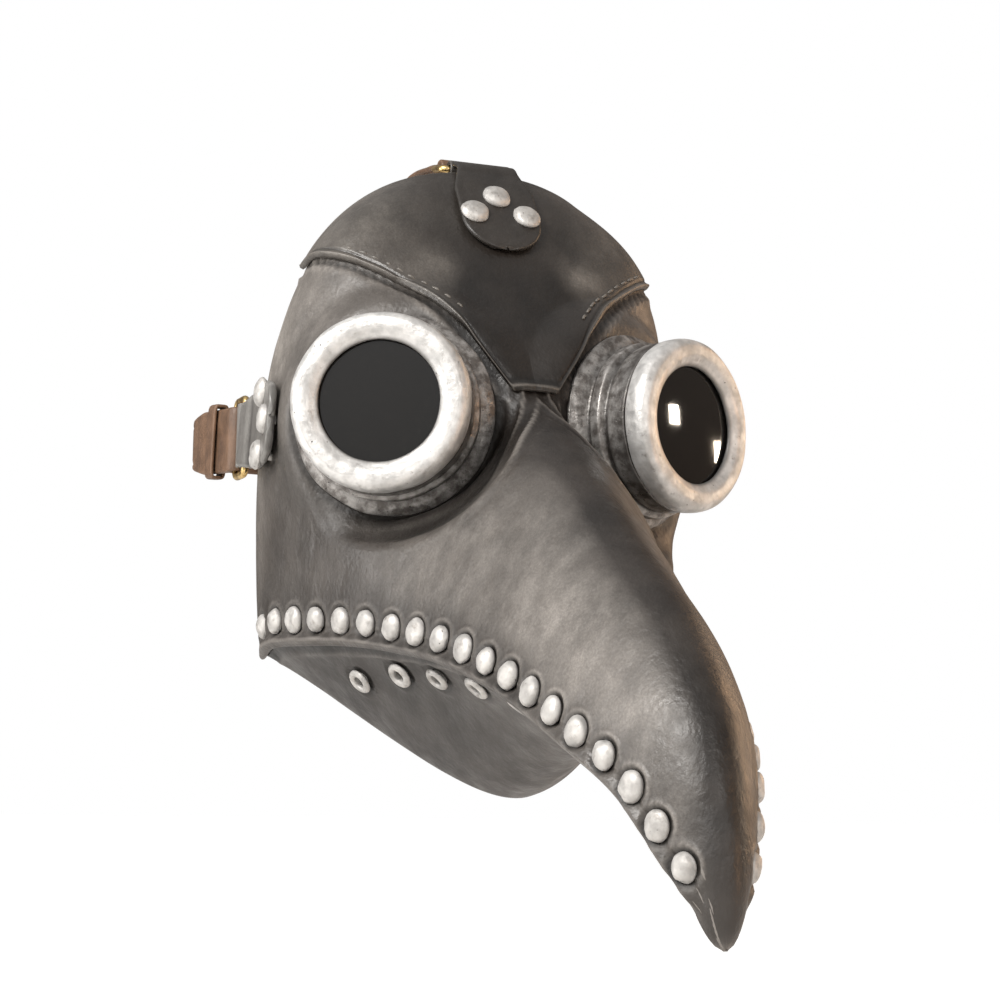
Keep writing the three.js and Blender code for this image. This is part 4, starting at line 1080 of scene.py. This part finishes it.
def rivet_head(matrix, radius, height, seed, oval=1.08):
    """An uneven hand-modelled dome with a closed foot, its outline slightly oval."""
    rings, segments = 9, 28
    turn = np.linspace(0, 2 * math.pi, segments, endpoint=False)
    neck = radius * 0.82
    local = [np.stack([neck * np.cos(turn), neck * oval * np.sin(turn), 0 * turn - 1.2], -1)]
    for k in range(rings):
        rise = math.radians(90 * k / rings)
        r, h = radius * math.cos(rise) ** 0.72, height * math.sin(rise) + 0.1
        local.append(np.stack([r * np.cos(turn), r * oval * np.sin(turn), np.full(segments, h)], -1))
    local = np.concatenate([*local, [[0, 0, -1.2], [0, 0, height + 0.1]]])
    shake = ripple(local + seed * 31.7, 3.1, seed) * 0.42 + ripple(local + seed * 11.3, 1.4, seed) * 0.16
    lift = ramp(local[:, 2], -0.4, 1.0)
    local *= 1 + (shake * lift / radius)[:, None]
    faces = [(a, d, c, b) for a, b, c, d in strips(rings + 1, segments)]
    foot, top = (rings + 1) * segments, (rings + 1) * segments + 1
    last = rings * segments
    for k in range(segments):
        n = (k + 1) % segments
        faces += [(foot, n, k), (top, last + k, last + n)]
    return carry(local, matrix), faces


def add_mouth_rivets():
    for name, side in SIDES:
        parts = []
        for k, (point, normal) in enumerate(zip(RIVET_POINTS, RIVET_NORMALS)):
            rise = 2.9 - 0.25 * k / ROW["count"]
            matrix = frame_at((point - normal * 0.7) * [side, 1, 1], normal * [side, 1, 1])
            seed = k + (0 if side > 0 else 50)
            parts.append(rivet_head(matrix, 4.45 + 0.2 * math.sin(3.7 * k), rise, seed))
        parts.append(backing_strip(side))
        points, faces = merged(parts)
        mesh_piece(f"mouth_rivet_row_{name}", points, faces, STUDS, "mask", f"mouth_rivets_{name}")


def backing_strip(side):
    """The thin strip inside the mask that the rivets are set in."""
    t = np.linspace(ROW_STEPS[0] - 0.15, ROW_STEPS[-1] + 0.12, 120)
    near = SKIN + JAW_SKIN + 2 * GAP + 0.7
    loop = []
    for extra, depth in ((3.5, near), (-3.5, near), (-3.5, near + 1.2), (3.5, near + 1.2)):
        v = row_v(t, extra)
        loop.append((skin(t, v) - outward(t, v, 0) * depth) * [side, 1, 1])
    points = np.stack(loop, 1).reshape(-1, 3)
    last = 4 * (len(t) - 1)
    return points, [(0, 1, 2, 3), *strips(len(t), 4), (last + 3, last + 2, last + 1, last)]


# ------------------------------------------------------------------ eyepieces


def eye_matrix(side):
    return frame_at(EYE_SEAT * [side, 1, 1], EYE_AXIS * [side, 1, 1])


def add_eyepieces():
    barrel = rounded([
        (24.5, -9), (28.5, -9), (28.5, 0.3), (36.8, 0.3), (37.0, 1.6), (34.6, 3.4), (31.2, 5.2), (31.0, 7.0),
        (32.8, 7.8), (32.9, 11.6), (30.8, 12.8), (30.6, 14.2), (31.5, 15.2), (31.6, 22.6), (24.5, 22.7),
    ], 0.7)
    bezel = rounded([
        (21.6, 29.3), (23.0, 28.9), (26.6, 28.6), (26.6, 23.1), (31.9, 23.1), (32.1, 28.2), (31.3, 31.0),
        (29.2, 32.7), (25.4, 32.6), (23.2, 31.2), (21.7, 30.3),
    ], 1.1, steps=5)
    gasket = rounded([(24.5, 23.0), (26.3, 23.0), (26.3, 25.6), (24.5, 25.6)], 0.4)
    retainer = rounded([(28.8, -8), (34, -8), (34, -3.6), (28.8, -3.6)], 0.8)
    for name, side in SIDES:
        matrix = eye_matrix(side)
        for piece, profile, look, wobble in (
                ("eyepiece_barrel", barrel, BARREL, 0.35), ("eyepiece_bezel", bezel, BEZEL, 0.28),
                ("lens_gasket", gasket, RUBBER, 0.0), ("retaining_ring", retainer, BARREL, 0.12)):
            points, faces = lathe(profile, matrix, 144, wobble, seed=7 + side)
            marks = {"shade": eye_shade(points, matrix, piece)}
            mesh_piece(f"{piece}_{name}_detail", points, faces, look, "mask", f"{piece}_{name}", marks)
        add_lens(name, matrix)


def eye_shade(points, matrix, piece):
    """Painted shade in the barrel's steps, at its top under the bezel and towards its foot, and in the
    corner between the bezel's lip and the lens.
    """
    local = (points - matrix[:3, 3]) @ matrix[:3, :3]
    radius = np.hypot(local[:, 0], local[:, 1])
    if piece != "eyepiece_barrel":
        return 0.8 * ramp(radius, 23.2, 21.7)
    # Painted shade in the barrel's two steps, at its top under the bezel and towards its foot.
    step_shade = 0.75 * bump(local[:, 2] - 6.2, 2.4) + 0.8 * bump(local[:, 2] - 13.6, 1.9)
    return np.clip(step_shade + 0.7 * bump(local[:, 2] - 22.2, 1.6) + 0.35 * ramp(local[:, 2], 4, 0), 0, 1)


def add_lens(name, matrix):
    """A lens with a domed front, its rim let into the bezel."""
    radii = np.linspace(26.2, 1.5, 18)
    front = [(r, 28.3 + 0.9 * (1 - (r / 26.2) ** 2)) for r in radii]
    profile = [(0, 25.9), (26.2, 25.9), *front, (0, 29.2)]
    points, faces = turned_solid(profile, matrix, 144)
    mesh_piece(f"lens_{name}_detail", points, faces, LENS, "mask", f"lens_{name}")


# ------------------------------------------------------------------ harness


def add_keeper(name, side):
    """A flat leather loop round the straight part of a side strap."""
    heading = np.array([math.sin(SIDE_SPLAY), math.cos(SIDE_SPLAY), STRAP_RISE])
    ahead, outward_x = unit(heading), np.array([math.cos(SIDE_SPLAY), -math.sin(SIDE_SPLAY), 0])
    upward = np.cross(outward_x, ahead)
    start = np.array([*SIDE_HINGE, LUG_Z]) + np.array([heading[0], heading[1], 0]) * RING["reach"]
    middle = start + heading * KEEPER["at"] + outward_x * STRAP / 2
    half_thick = STRAP / 2 + KEEPER["clearance"] + KEEPER["wall"] / 2
    half_tall = HALF_WIDTH + KEEPER["clearance"] + KEEPER["wall"] / 2
    turn = np.linspace(0, 2 * math.pi, 72, endpoint=False)
    corner = (np.abs(np.cos(turn)) ** 8 + np.abs(np.sin(turn)) ** 8) ** (-1 / 8)
    a, b = half_thick * corner * np.cos(turn), half_tall * corner * np.sin(turn)
    away = unit(np.stack([np.sign(a) * np.abs(a / half_thick) ** 7 / half_thick,
                          np.sign(b) * np.abs(b / half_tall) ** 7 / half_tall], -1))
    section = rounded([(-1, -1), (1, -1), (1, 1), (-1, 1)], 0.5)
    rings = []
    for u, w, n in zip(a, b, away):
        out = outward_x * n[0] + upward * n[1]
        at = middle + outward_x * u + upward * w
        rings.append([at + ahead * (KEEPER["along"] / 2) * s + out * (KEEPER["wall"] / 2) * r
                      for s, r in section])
    points = np.array(rings).reshape(-1, 3)
    faces = strips(len(rings), len(section), closed=True)
    mesh_piece(f"strap_keeper_{name}_loop", points * [side, 1, 1], flipped(faces, side), STRAPS,
               f"keeper_{name}", f"strap_keeper_{name}")


def eye_roll(centre, axis, radius, length):
    """The rolled end of a tab or strap, with the hole that its ring's wire runs through."""
    profile = rounded([(EYE["hole"], -length / 2), (radius, -length / 2), (radius, length / 2),
                       (EYE["hole"], length / 2)], 0.9)
    return lathe(profile, frame_at(centre, axis, up=(0.3, 1, 0.2)), 40, wobble=0.12, seed=5)


def facing(path, turn):
    """Unit normals of a flat path of [a, b] points, turned to its left or right."""
    ahead = unit(np.gradient(path, axis=0))
    return turn * np.stack([ahead[:, 1], -ahead[:, 0]], -1)


def add_side_tab(name, side):
    """A leather plate with two soft upright ribs, riveted to the cheek."""
    path = spline(TAB_PATH, 60)
    out = facing(path, -1)
    out *= np.sign(out[:, :1])
    rib = 0.55 * bump(path[:, 1] + 8, 4.5) + 0.40 * bump(path[:, 1] + 18, 4.0)
    centre = path + out * (1.6 + 0.25 + rib[:, None] * 0.5)
    half = np.interp(path[:, 1], [-46, -44, -41, -34, -24, -6, 3], [6, 10, 13.4, 15.6, 16.6, 13.8, 12.3])
    lift = np.full(len(path), LUG_Z)
    across = unit(np.array([TAB_LEAN, 0, 1]))
    points = np.column_stack([centre[:, 0] + TAB_LEAN * LUG_Z, centre[:, 1], lift])
    normals = np.column_stack([out, 0 * lift])
    plate = band(points, normals, np.tile(across, (len(path), 1)), half, 2.9 + 0.5 * rib.max(), groove=0.35)
    roll = eye_roll((*SIDE_HINGE, LUG_Z), (0, 0, 1), EYE["tab"], 25)
    points, faces = merged([plate, roll])
    # Painted highlight along the tab's upper edge and on the rib nearer the ring, and painted shade between
    # the ribs.
    marks = {"pale": 0.30 + 0.30 * bump(points[:, 2] - LUG_Z - 15, 5) + 0.25 * bump(points[:, 1] + 8, 4),
             "shade": 0.5 * bump(points[:, 1] + 13, 3)}
    mesh_piece(f"side_tab_{name}_leather", points * [side, 1, 1], flipped(faces, side), TAB, "mask",
               f"side_tab_{name}", marks)


def flipped(faces, side):
    """Faces as they are on the right, turned over for a mirrored piece."""
    return faces if side > 0 else [face[::-1] for face in faces]


def top_tab_path():
    """[y, z] points of the top tab's near face, from its lower end to its hinge."""
    t = np.array([1.85, 1.75, 1.5, 1.25, 1.0, 0.75, 0.5, 0.25, 0.0])
    v = np.zeros_like(t)
    base = skin(t, v) + outward(t, v, 0) * (PANEL + 3 * GAP)
    return np.concatenate([base[:, 1:], [[-33.5, 100.8]]])


def add_top_tab():
    path = spline(top_tab_path(), 56)
    out = facing(path, 1)
    out *= -np.sign(out[:, :1])
    centre = path + out * 1.25
    low = centre[:, 1].min()
    round_end = 16 * np.sqrt(np.clip(1 - ((low + 14 - centre[:, 1]) / 14.4) ** 2, 0.04, 1))
    half = np.where(centre[:, 1] < low + 14, round_end, np.interp(centre[:, 1], [88, 98], [16, 12.3]))
    points = np.column_stack([0 * half, centre])
    normals = np.column_stack([0 * half, out])
    plate = band(points, normals, np.tile([1.0, 0, 0], (len(path), 1)), half, 2.1, groove=0.3)
    roll = eye_roll((0, *TOP_HINGE), (1, 0, 0), EYE["tab"], 25)
    points, faces = merged([plate, roll])
    marks = {"pale": np.full(len(points), 0.12), "shade": np.full(len(points), 0.25)}
    mesh_piece("top_tab_leather", points, faces, BROW, "mask", "top_tab", marks)


def side_rivet_frames():
    """Matrices of one side tab's rivets, zero on the tab's outer face."""
    path = np.array(TAB_PATH)
    frames = []
    for y, z in TAB_RIVETS:
        x = np.interp(y, path[:, 1], path[:, 0]) + 3.2 + TAB_LEAN * (z + LUG_Z)
        slope = np.interp(y, 0.5 * (path[1:, 1] + path[:-1, 1]), np.diff(path[:, 0]) / np.diff(path[:, 1]))
        frames.append(frame_at((x + 0.2, y, z + LUG_Z), (1, -slope, -TAB_LEAN)))
    return frames


def top_rivet_frames():
    frames = []
    for x, t in TOP_RIVETS:
        t = np.array([t])
        foot = (skin(t, 0 * t) + outward(t, 0 * t, 0) * (PANEL + 3 * GAP + 2.2))[0]
        frames.append(frame_at(foot + [x, 0, 0], (0, -0.8, 0.6)))
    return frames


def add_tab_rivets():
    """Large uneven silvered rivets on the three tabs, each with its shank."""
    mirror = np.diag([-1.0, 1, 1, 1])
    groups = {"right": side_rivet_frames(), "top": top_rivet_frames()}
    groups["left"] = [mirror @ matrix @ mirror for matrix in groups["right"]]
    for g, (tab, frames) in enumerate(groups.items()):
        for k, matrix in enumerate(frames):
            shank = turned_solid([(0, -8.8), (1.7, -8.8), (1.7, -0.6), (0, -0.6)], matrix, 16)
            head = rivet_head(matrix, 5.5, 2.9, 70 + 5 * g + k, oval=1.04)
            points, faces = merged([head, shank])
            node = f"tab_rivet_{tab}_{k + 1}"
            mesh_piece(f"{node}_head", points, faces, STUDS, "mask", node)


def ring_loop(pivot, reach, hinge):
    """Points round a flat wire ring whose two long sides lie along a hinge direction."""
    pivot, reach, hinge = (np.asarray(a, dtype=float) for a in (pivot, reach, hinge))
    half, corner = RING["half"], 2.4
    long, short = half - corner, np.linalg.norm(reach) - corner
    ahead = unit(reach)
    points = []
    corners = ((long, short), (-long, short), (-long, corner), (long, corner))
    for (u, w), start in zip(corners, (0, 90, 180, 270)):
        for angle in np.radians(np.linspace(start, start + 90, 7)):
            sideways, forwards = u + corner * math.cos(angle), w + corner * math.sin(angle)
            points.append(pivot + hinge * sideways + ahead * forwards)
    return np.array(points)


def add_rings():
    heading = np.array([math.sin(SIDE_SPLAY), math.cos(SIDE_SPLAY), 0])
    for name, side in SIDES:
        loop = ring_loop((*SIDE_HINGE, LUG_Z), heading * RING["reach"], (0, 0, 1)) * [side, 1, 1]
        points, faces = tube(loop, RING["wire"], 14, closed=True)
        mesh_piece(f"side_ring_{name}_wire", points, faces, BRASS, f"ring_{name}", f"side_ring_{name}")
    rise = np.array([0, math.cos(TOP_RISE), math.sin(TOP_RISE)])
    loop = ring_loop((0, *TOP_HINGE), rise * RING["reach"], (1, 0, 0))
    points, faces = tube(loop, RING["wire"], 14, closed=True)
    mesh_piece("top_ring_wire", points, faces, BRASS, "ring_top", "top_ring")


def add_side_strap(name, side):
    """A strap that leaves its ring, narrows behind the ear and runs round to the closure."""
    heading = np.array([math.sin(SIDE_SPLAY), math.cos(SIDE_SPLAY)])
    start = np.array(SIDE_HINGE) + heading * RING["reach"]
    path = spline([start + heading * s for s in (3.3, 16, 30, 44)] + SIDE_STRAP, 130)
    out = facing(path, 1)
    centre = path + out * (STRAP / 2)
    climb = STRAP_RISE * (path[:, 1] - start[1])
    half = np.interp(path[:, 1], [0, 52, 90, 130], [HALF_WIDTH, HALF_WIDTH, 8.5, 8.5])
    uneven = 0.12 * ripple(np.column_stack([centre, climb]), 14, 3)
    points = np.column_stack([centre, LUG_Z + climb + uneven])
    normals = np.column_stack([out, 0 * climb])
    strip = band(points, normals, np.tile([0, 0, 1.0], (len(path), 1)), half, STRAP, groove=0.35)
    roll = eye_roll((*start, LUG_Z), (0, 0, 1), EYE["strap"], 25.4)
    points, faces = merged([strip, roll])
    mesh_piece(f"side_strap_{name}_leather", points * [side, 1, 1], flipped(faces, side), STRAPS,
               f"strap_{name}", f"side_strap_{name}")


def add_top_strap():
    rise = np.array([math.cos(TOP_RISE), math.sin(TOP_RISE)])
    start = np.array(TOP_HINGE) + rise * RING["reach"]
    path = spline([start + [3, 0.5], *TOP_STRAP], 130)
    out = facing(path, -1)
    centre = path + out * (STRAP / 2)
    points = np.column_stack([0 * path[:, 0], centre])
    normals = np.column_stack([0 * path[:, 0], out])
    strip = band(points, normals, np.tile([1.0, 0, 0], (len(path), 1)), HALF_WIDTH, STRAP, groove=0.35)
    roll = eye_roll((0, *start), (1, 0, 0), EYE["strap"], 25.4)
    points, faces = merged([strip, roll])
    mesh_piece("top_strap_leather", points, faces, STRAPS, "strap_top", "top_strap")


def add_rear_pad():
    """A thin stuffed pad: its inner face crowned, with a piped edge and quilted rows."""
    rings, segments = 26, 96
    turn = np.linspace(0, 2 * math.pi, segments, endpoint=False)
    a, b, power = REAR_PAD["half_width"], REAR_PAD["half_height"], 4.0
    size = (np.abs(np.cos(turn)) ** power + np.abs(np.sin(turn)) ** power) ** (-1 / power)
    rim = np.stack([a * size * np.cos(turn), b * size * np.sin(turn)], -1)
    back = REAR_PAD["front"] + REAR_PAD["thickness"]
    faces_xyz = []
    for front in (True, False):
        for k in range(rings):
            f = 1 - k / rings
            inset_rim = rim * f
            fill = (1 - f ** 5)
            quilt = 0.5 + 0.5 * np.cos(inset_rim[:, 0] * math.pi / 10)
            piping = 0.7 * bump(np.full(segments, 1 - f) - 0.06, 0.06)
            crown = fill * (2.2 + 0.9 * quilt * ramp(np.full(segments, 1 - f), 0.1, 0.3)) + piping
            if front:
                y = REAR_PAD["front"] + 1.3 - crown
            else:
                y = back - 0.5 + 0.5 * fill
            depth = np.broadcast_to(y, segments)
            faces_xyz.append(np.column_stack([inset_rim[:, 0], depth, inset_rim[:, 1]]))
    half_count = rings * segments
    points = np.concatenate(faces_xyz)
    middle = [[0, points[half_count - 1, 1] - 0.2, 0], [0, back, 0]]
    points = np.concatenate([points, middle]) + [0, 0, REAR_PAD["z"]]
    faces = []
    for start, turned in ((0, False), (half_count, True)):
        for k, n in product(range(rings - 1), range(segments)):
            i, j = start + k * segments, start + (k + 1) * segments
            face = (i + n, i + (n + 1) % segments, j + (n + 1) % segments, j + n)
            faces.append(face[::-1] if turned else face)
        last, tip = start + (rings - 1) * segments, 2 * half_count + (1 if turned else 0)
        for n in range(segments):
            face = (last + n, last + (n + 1) % segments, tip)
            faces.append(face[::-1] if turned else face)
    for n in range(segments):
        following = (n + 1) % segments
        faces.append((half_count + n, half_count + following, following, n))
    pad = mesh_piece("rear_pad_cushion", points, faces, STRAPS, "strap_top", "rear_pad")


def add_harness():
    for name, side in SIDES:
        add_side_tab(name, side)
        add_side_strap(name, side)
        add_keeper(name, side)
    add_top_tab()
    add_tab_rivets()
    add_rings()
    add_top_strap()
    add_rear_pad()


# ------------------------------------------------------------------ stage, light and camera

CAMERA = dict(azimuth=-20.0, elevation=-8.0, distance=0.88, roll=0.7, lens=79.2, aim=(0.0204, -0.0252))
FLOOR_Z = -0.30


def camera_axes():
    """Right, up and back directions of the camera."""
    a, e, r = (math.radians(CAMERA[k]) for k in ("azimuth", "elevation", "roll"))
    right = np.array([math.cos(a), math.sin(a), 0])
    up = np.array([-math.sin(a) * math.sin(e), math.cos(a) * math.sin(e), math.cos(e)])
    back = np.array([math.sin(a) * math.cos(e), -math.cos(a) * math.cos(e), math.sin(e)])
    return (math.cos(r) * right + math.sin(r) * up, -math.sin(r) * right + math.cos(r) * up, back)


def add_camera():
    right, up, back = camera_axes()
    aim = right * CAMERA["aim"][0] + up * CAMERA["aim"][1]
    data = bpy.data.cameras.new("camera")
    data.lens, data.sensor_width = CAMERA["lens"], 36
    camera = bpy.data.objects.new("camera", data)
    bpy.context.scene.collection.objects.link(camera)
    matrix = Matrix.Identity(4)
    for column, axis in enumerate((right, up, back, aim + back * CAMERA["distance"])):
        for row in range(3):
            matrix[row][column] = float(axis[row])
    camera.matrix_world = matrix
    bpy.context.scene.camera = camera


def add_area_light(name, place, target, size, power, colour=(1, 1, 1)):
    data = bpy.data.lights.new(name, "AREA")
    data.shape, data.size, data.size_y = "RECTANGLE", *size
    data.energy, data.color = power, colour
    light = bpy.data.objects.new(name, data)
    bpy.context.scene.collection.objects.link(light)
    away = np.array(place) - np.array(target)
    matrix = frame_at(np.array(place), away)
    light.matrix_world = Matrix(matrix.tolist())


def add_stage():
    floor = bpy.data.meshes.new("floor")
    size = 30.0
    corners = [(x * size, y * size, FLOOR_Z) for x, y in ((-1, -1), (1, -1), (1, 1), (-1, 1))]
    floor.from_pydata(corners, [], [(0, 1, 2, 3)])
    look = Look("floor_paper", Specular_IOR_Level=0.1)
    look.colour(look.mix(look.noise(400, 3), (0.86, 0.86, 0.85), (0.90, 0.90, 0.89)))
    look.roughness(0.9)
    seen = look.node("ShaderNodeLightPath").outputs["Is Camera Ray"]
    look.feed(look.shader.inputs["Emission Color"], (0.97, 0.97, 0.97, 1.0))
    look.feed(look.shader.inputs["Emission Strength"], look.math("MULTIPLY", seen, 0.62))
    floor.materials.append(look.material)
    sheet_object = bpy.data.objects.new("floor", floor)
    bpy.context.scene.collection.objects.link(sheet_object)
    world = bpy.data.worlds.new("studio")
    world.use_nodes = True
    light_by_direction(world.node_tree)
    bpy.context.scene.world = world
    bpy.context.scene.view_settings.view_transform = "Standard"


def light_by_direction(tree):
    """A white backdrop that lights softly: bright from the upper left, warm on the right, dim below."""
    new, link = tree.nodes.new, tree.links.new
    background = tree.nodes["Background"]
    direction = new("ShaderNodeTexCoord").outputs["Generated"]
    slant = new("ShaderNodeVectorMath")
    slant.operation = "DOT_PRODUCT"
    link(direction, slant.inputs[0])
    slant.inputs[1].default_value = (-0.50, -0.30, 0.81)
    shades = new("ShaderNodeValToRGB")
    low, high = shades.color_ramp.elements
    low.position, low.color = 0.18, (0.13, 0.085, 0.055, 1)
    high.position, high.color = 0.95, (0.70, 0.70, 0.70, 1)
    middle = shades.color_ramp.elements.new(0.55)
    middle.color = (0.24, 0.22, 0.205, 1)
    scaled = new("ShaderNodeMapRange")
    scaled.inputs["From Min"].default_value = -1.0
    link(slant.outputs["Value"], scaled.inputs["Value"])
    link(scaled.outputs[0], shades.inputs["Fac"])
    seen = new("ShaderNodeLightPath").outputs["Is Camera Ray"]
    backdrop = new("ShaderNodeMix")
    backdrop.data_type = "RGBA"
    link(seen, backdrop.inputs["Factor"])
    link(shades.outputs["Color"], backdrop.inputs[6])
    backdrop.inputs[7].default_value = (1.0, 1.0, 1.0, 1)
    link(backdrop.outputs[2], background.inputs["Color"])


def add_lights():
    middle = (0, -0.1, -0.04)
    add_area_light("key", (-1.05, -0.70, 0.80), middle, (0.6, 0.5), 26, (1.0, 0.975, 0.945))
    add_area_light("left_rim", (-1.25, 0.15, 0.10), middle, (0.4, 0.8), 7, (1.0, 0.98, 0.96))
    add_area_light("front_fill", (0.05, -1.6, 0.5), middle, (0.5, 0.5), 5.0, (1.0, 0.96, 0.92))
    add_area_light("warm_side", (0.85, -1.0, 0.05), middle, (0.30, 0.5), 2.6, (1.0, 0.60, 0.34))
    add_area_light("warm_rim", (1.05, 0.20, 0.25), middle, (0.4, 0.7), 3.2, (1.0, 0.64, 0.38))
    add_area_light("upper_lamp", (1.98, -0.53, 0.37), (0.06, -0.1, 0), (0.07, 0.07), 1.6, (1.0, 0.86, 0.70))
    add_area_light("lower_lamp", (2.04, -0.19, 0.26), (0.06, -0.1, 0), (0.10, 0.07), 2.2, (1.0, 0.80, 0.60))



add_camera()
add_stage()
add_lights()
add_face_shell()
add_brow_panel()
add_brow_stitches()
add_jaw()
add_eyelets()
add_mouth_rivets()
add_eyepieces()
add_harness()
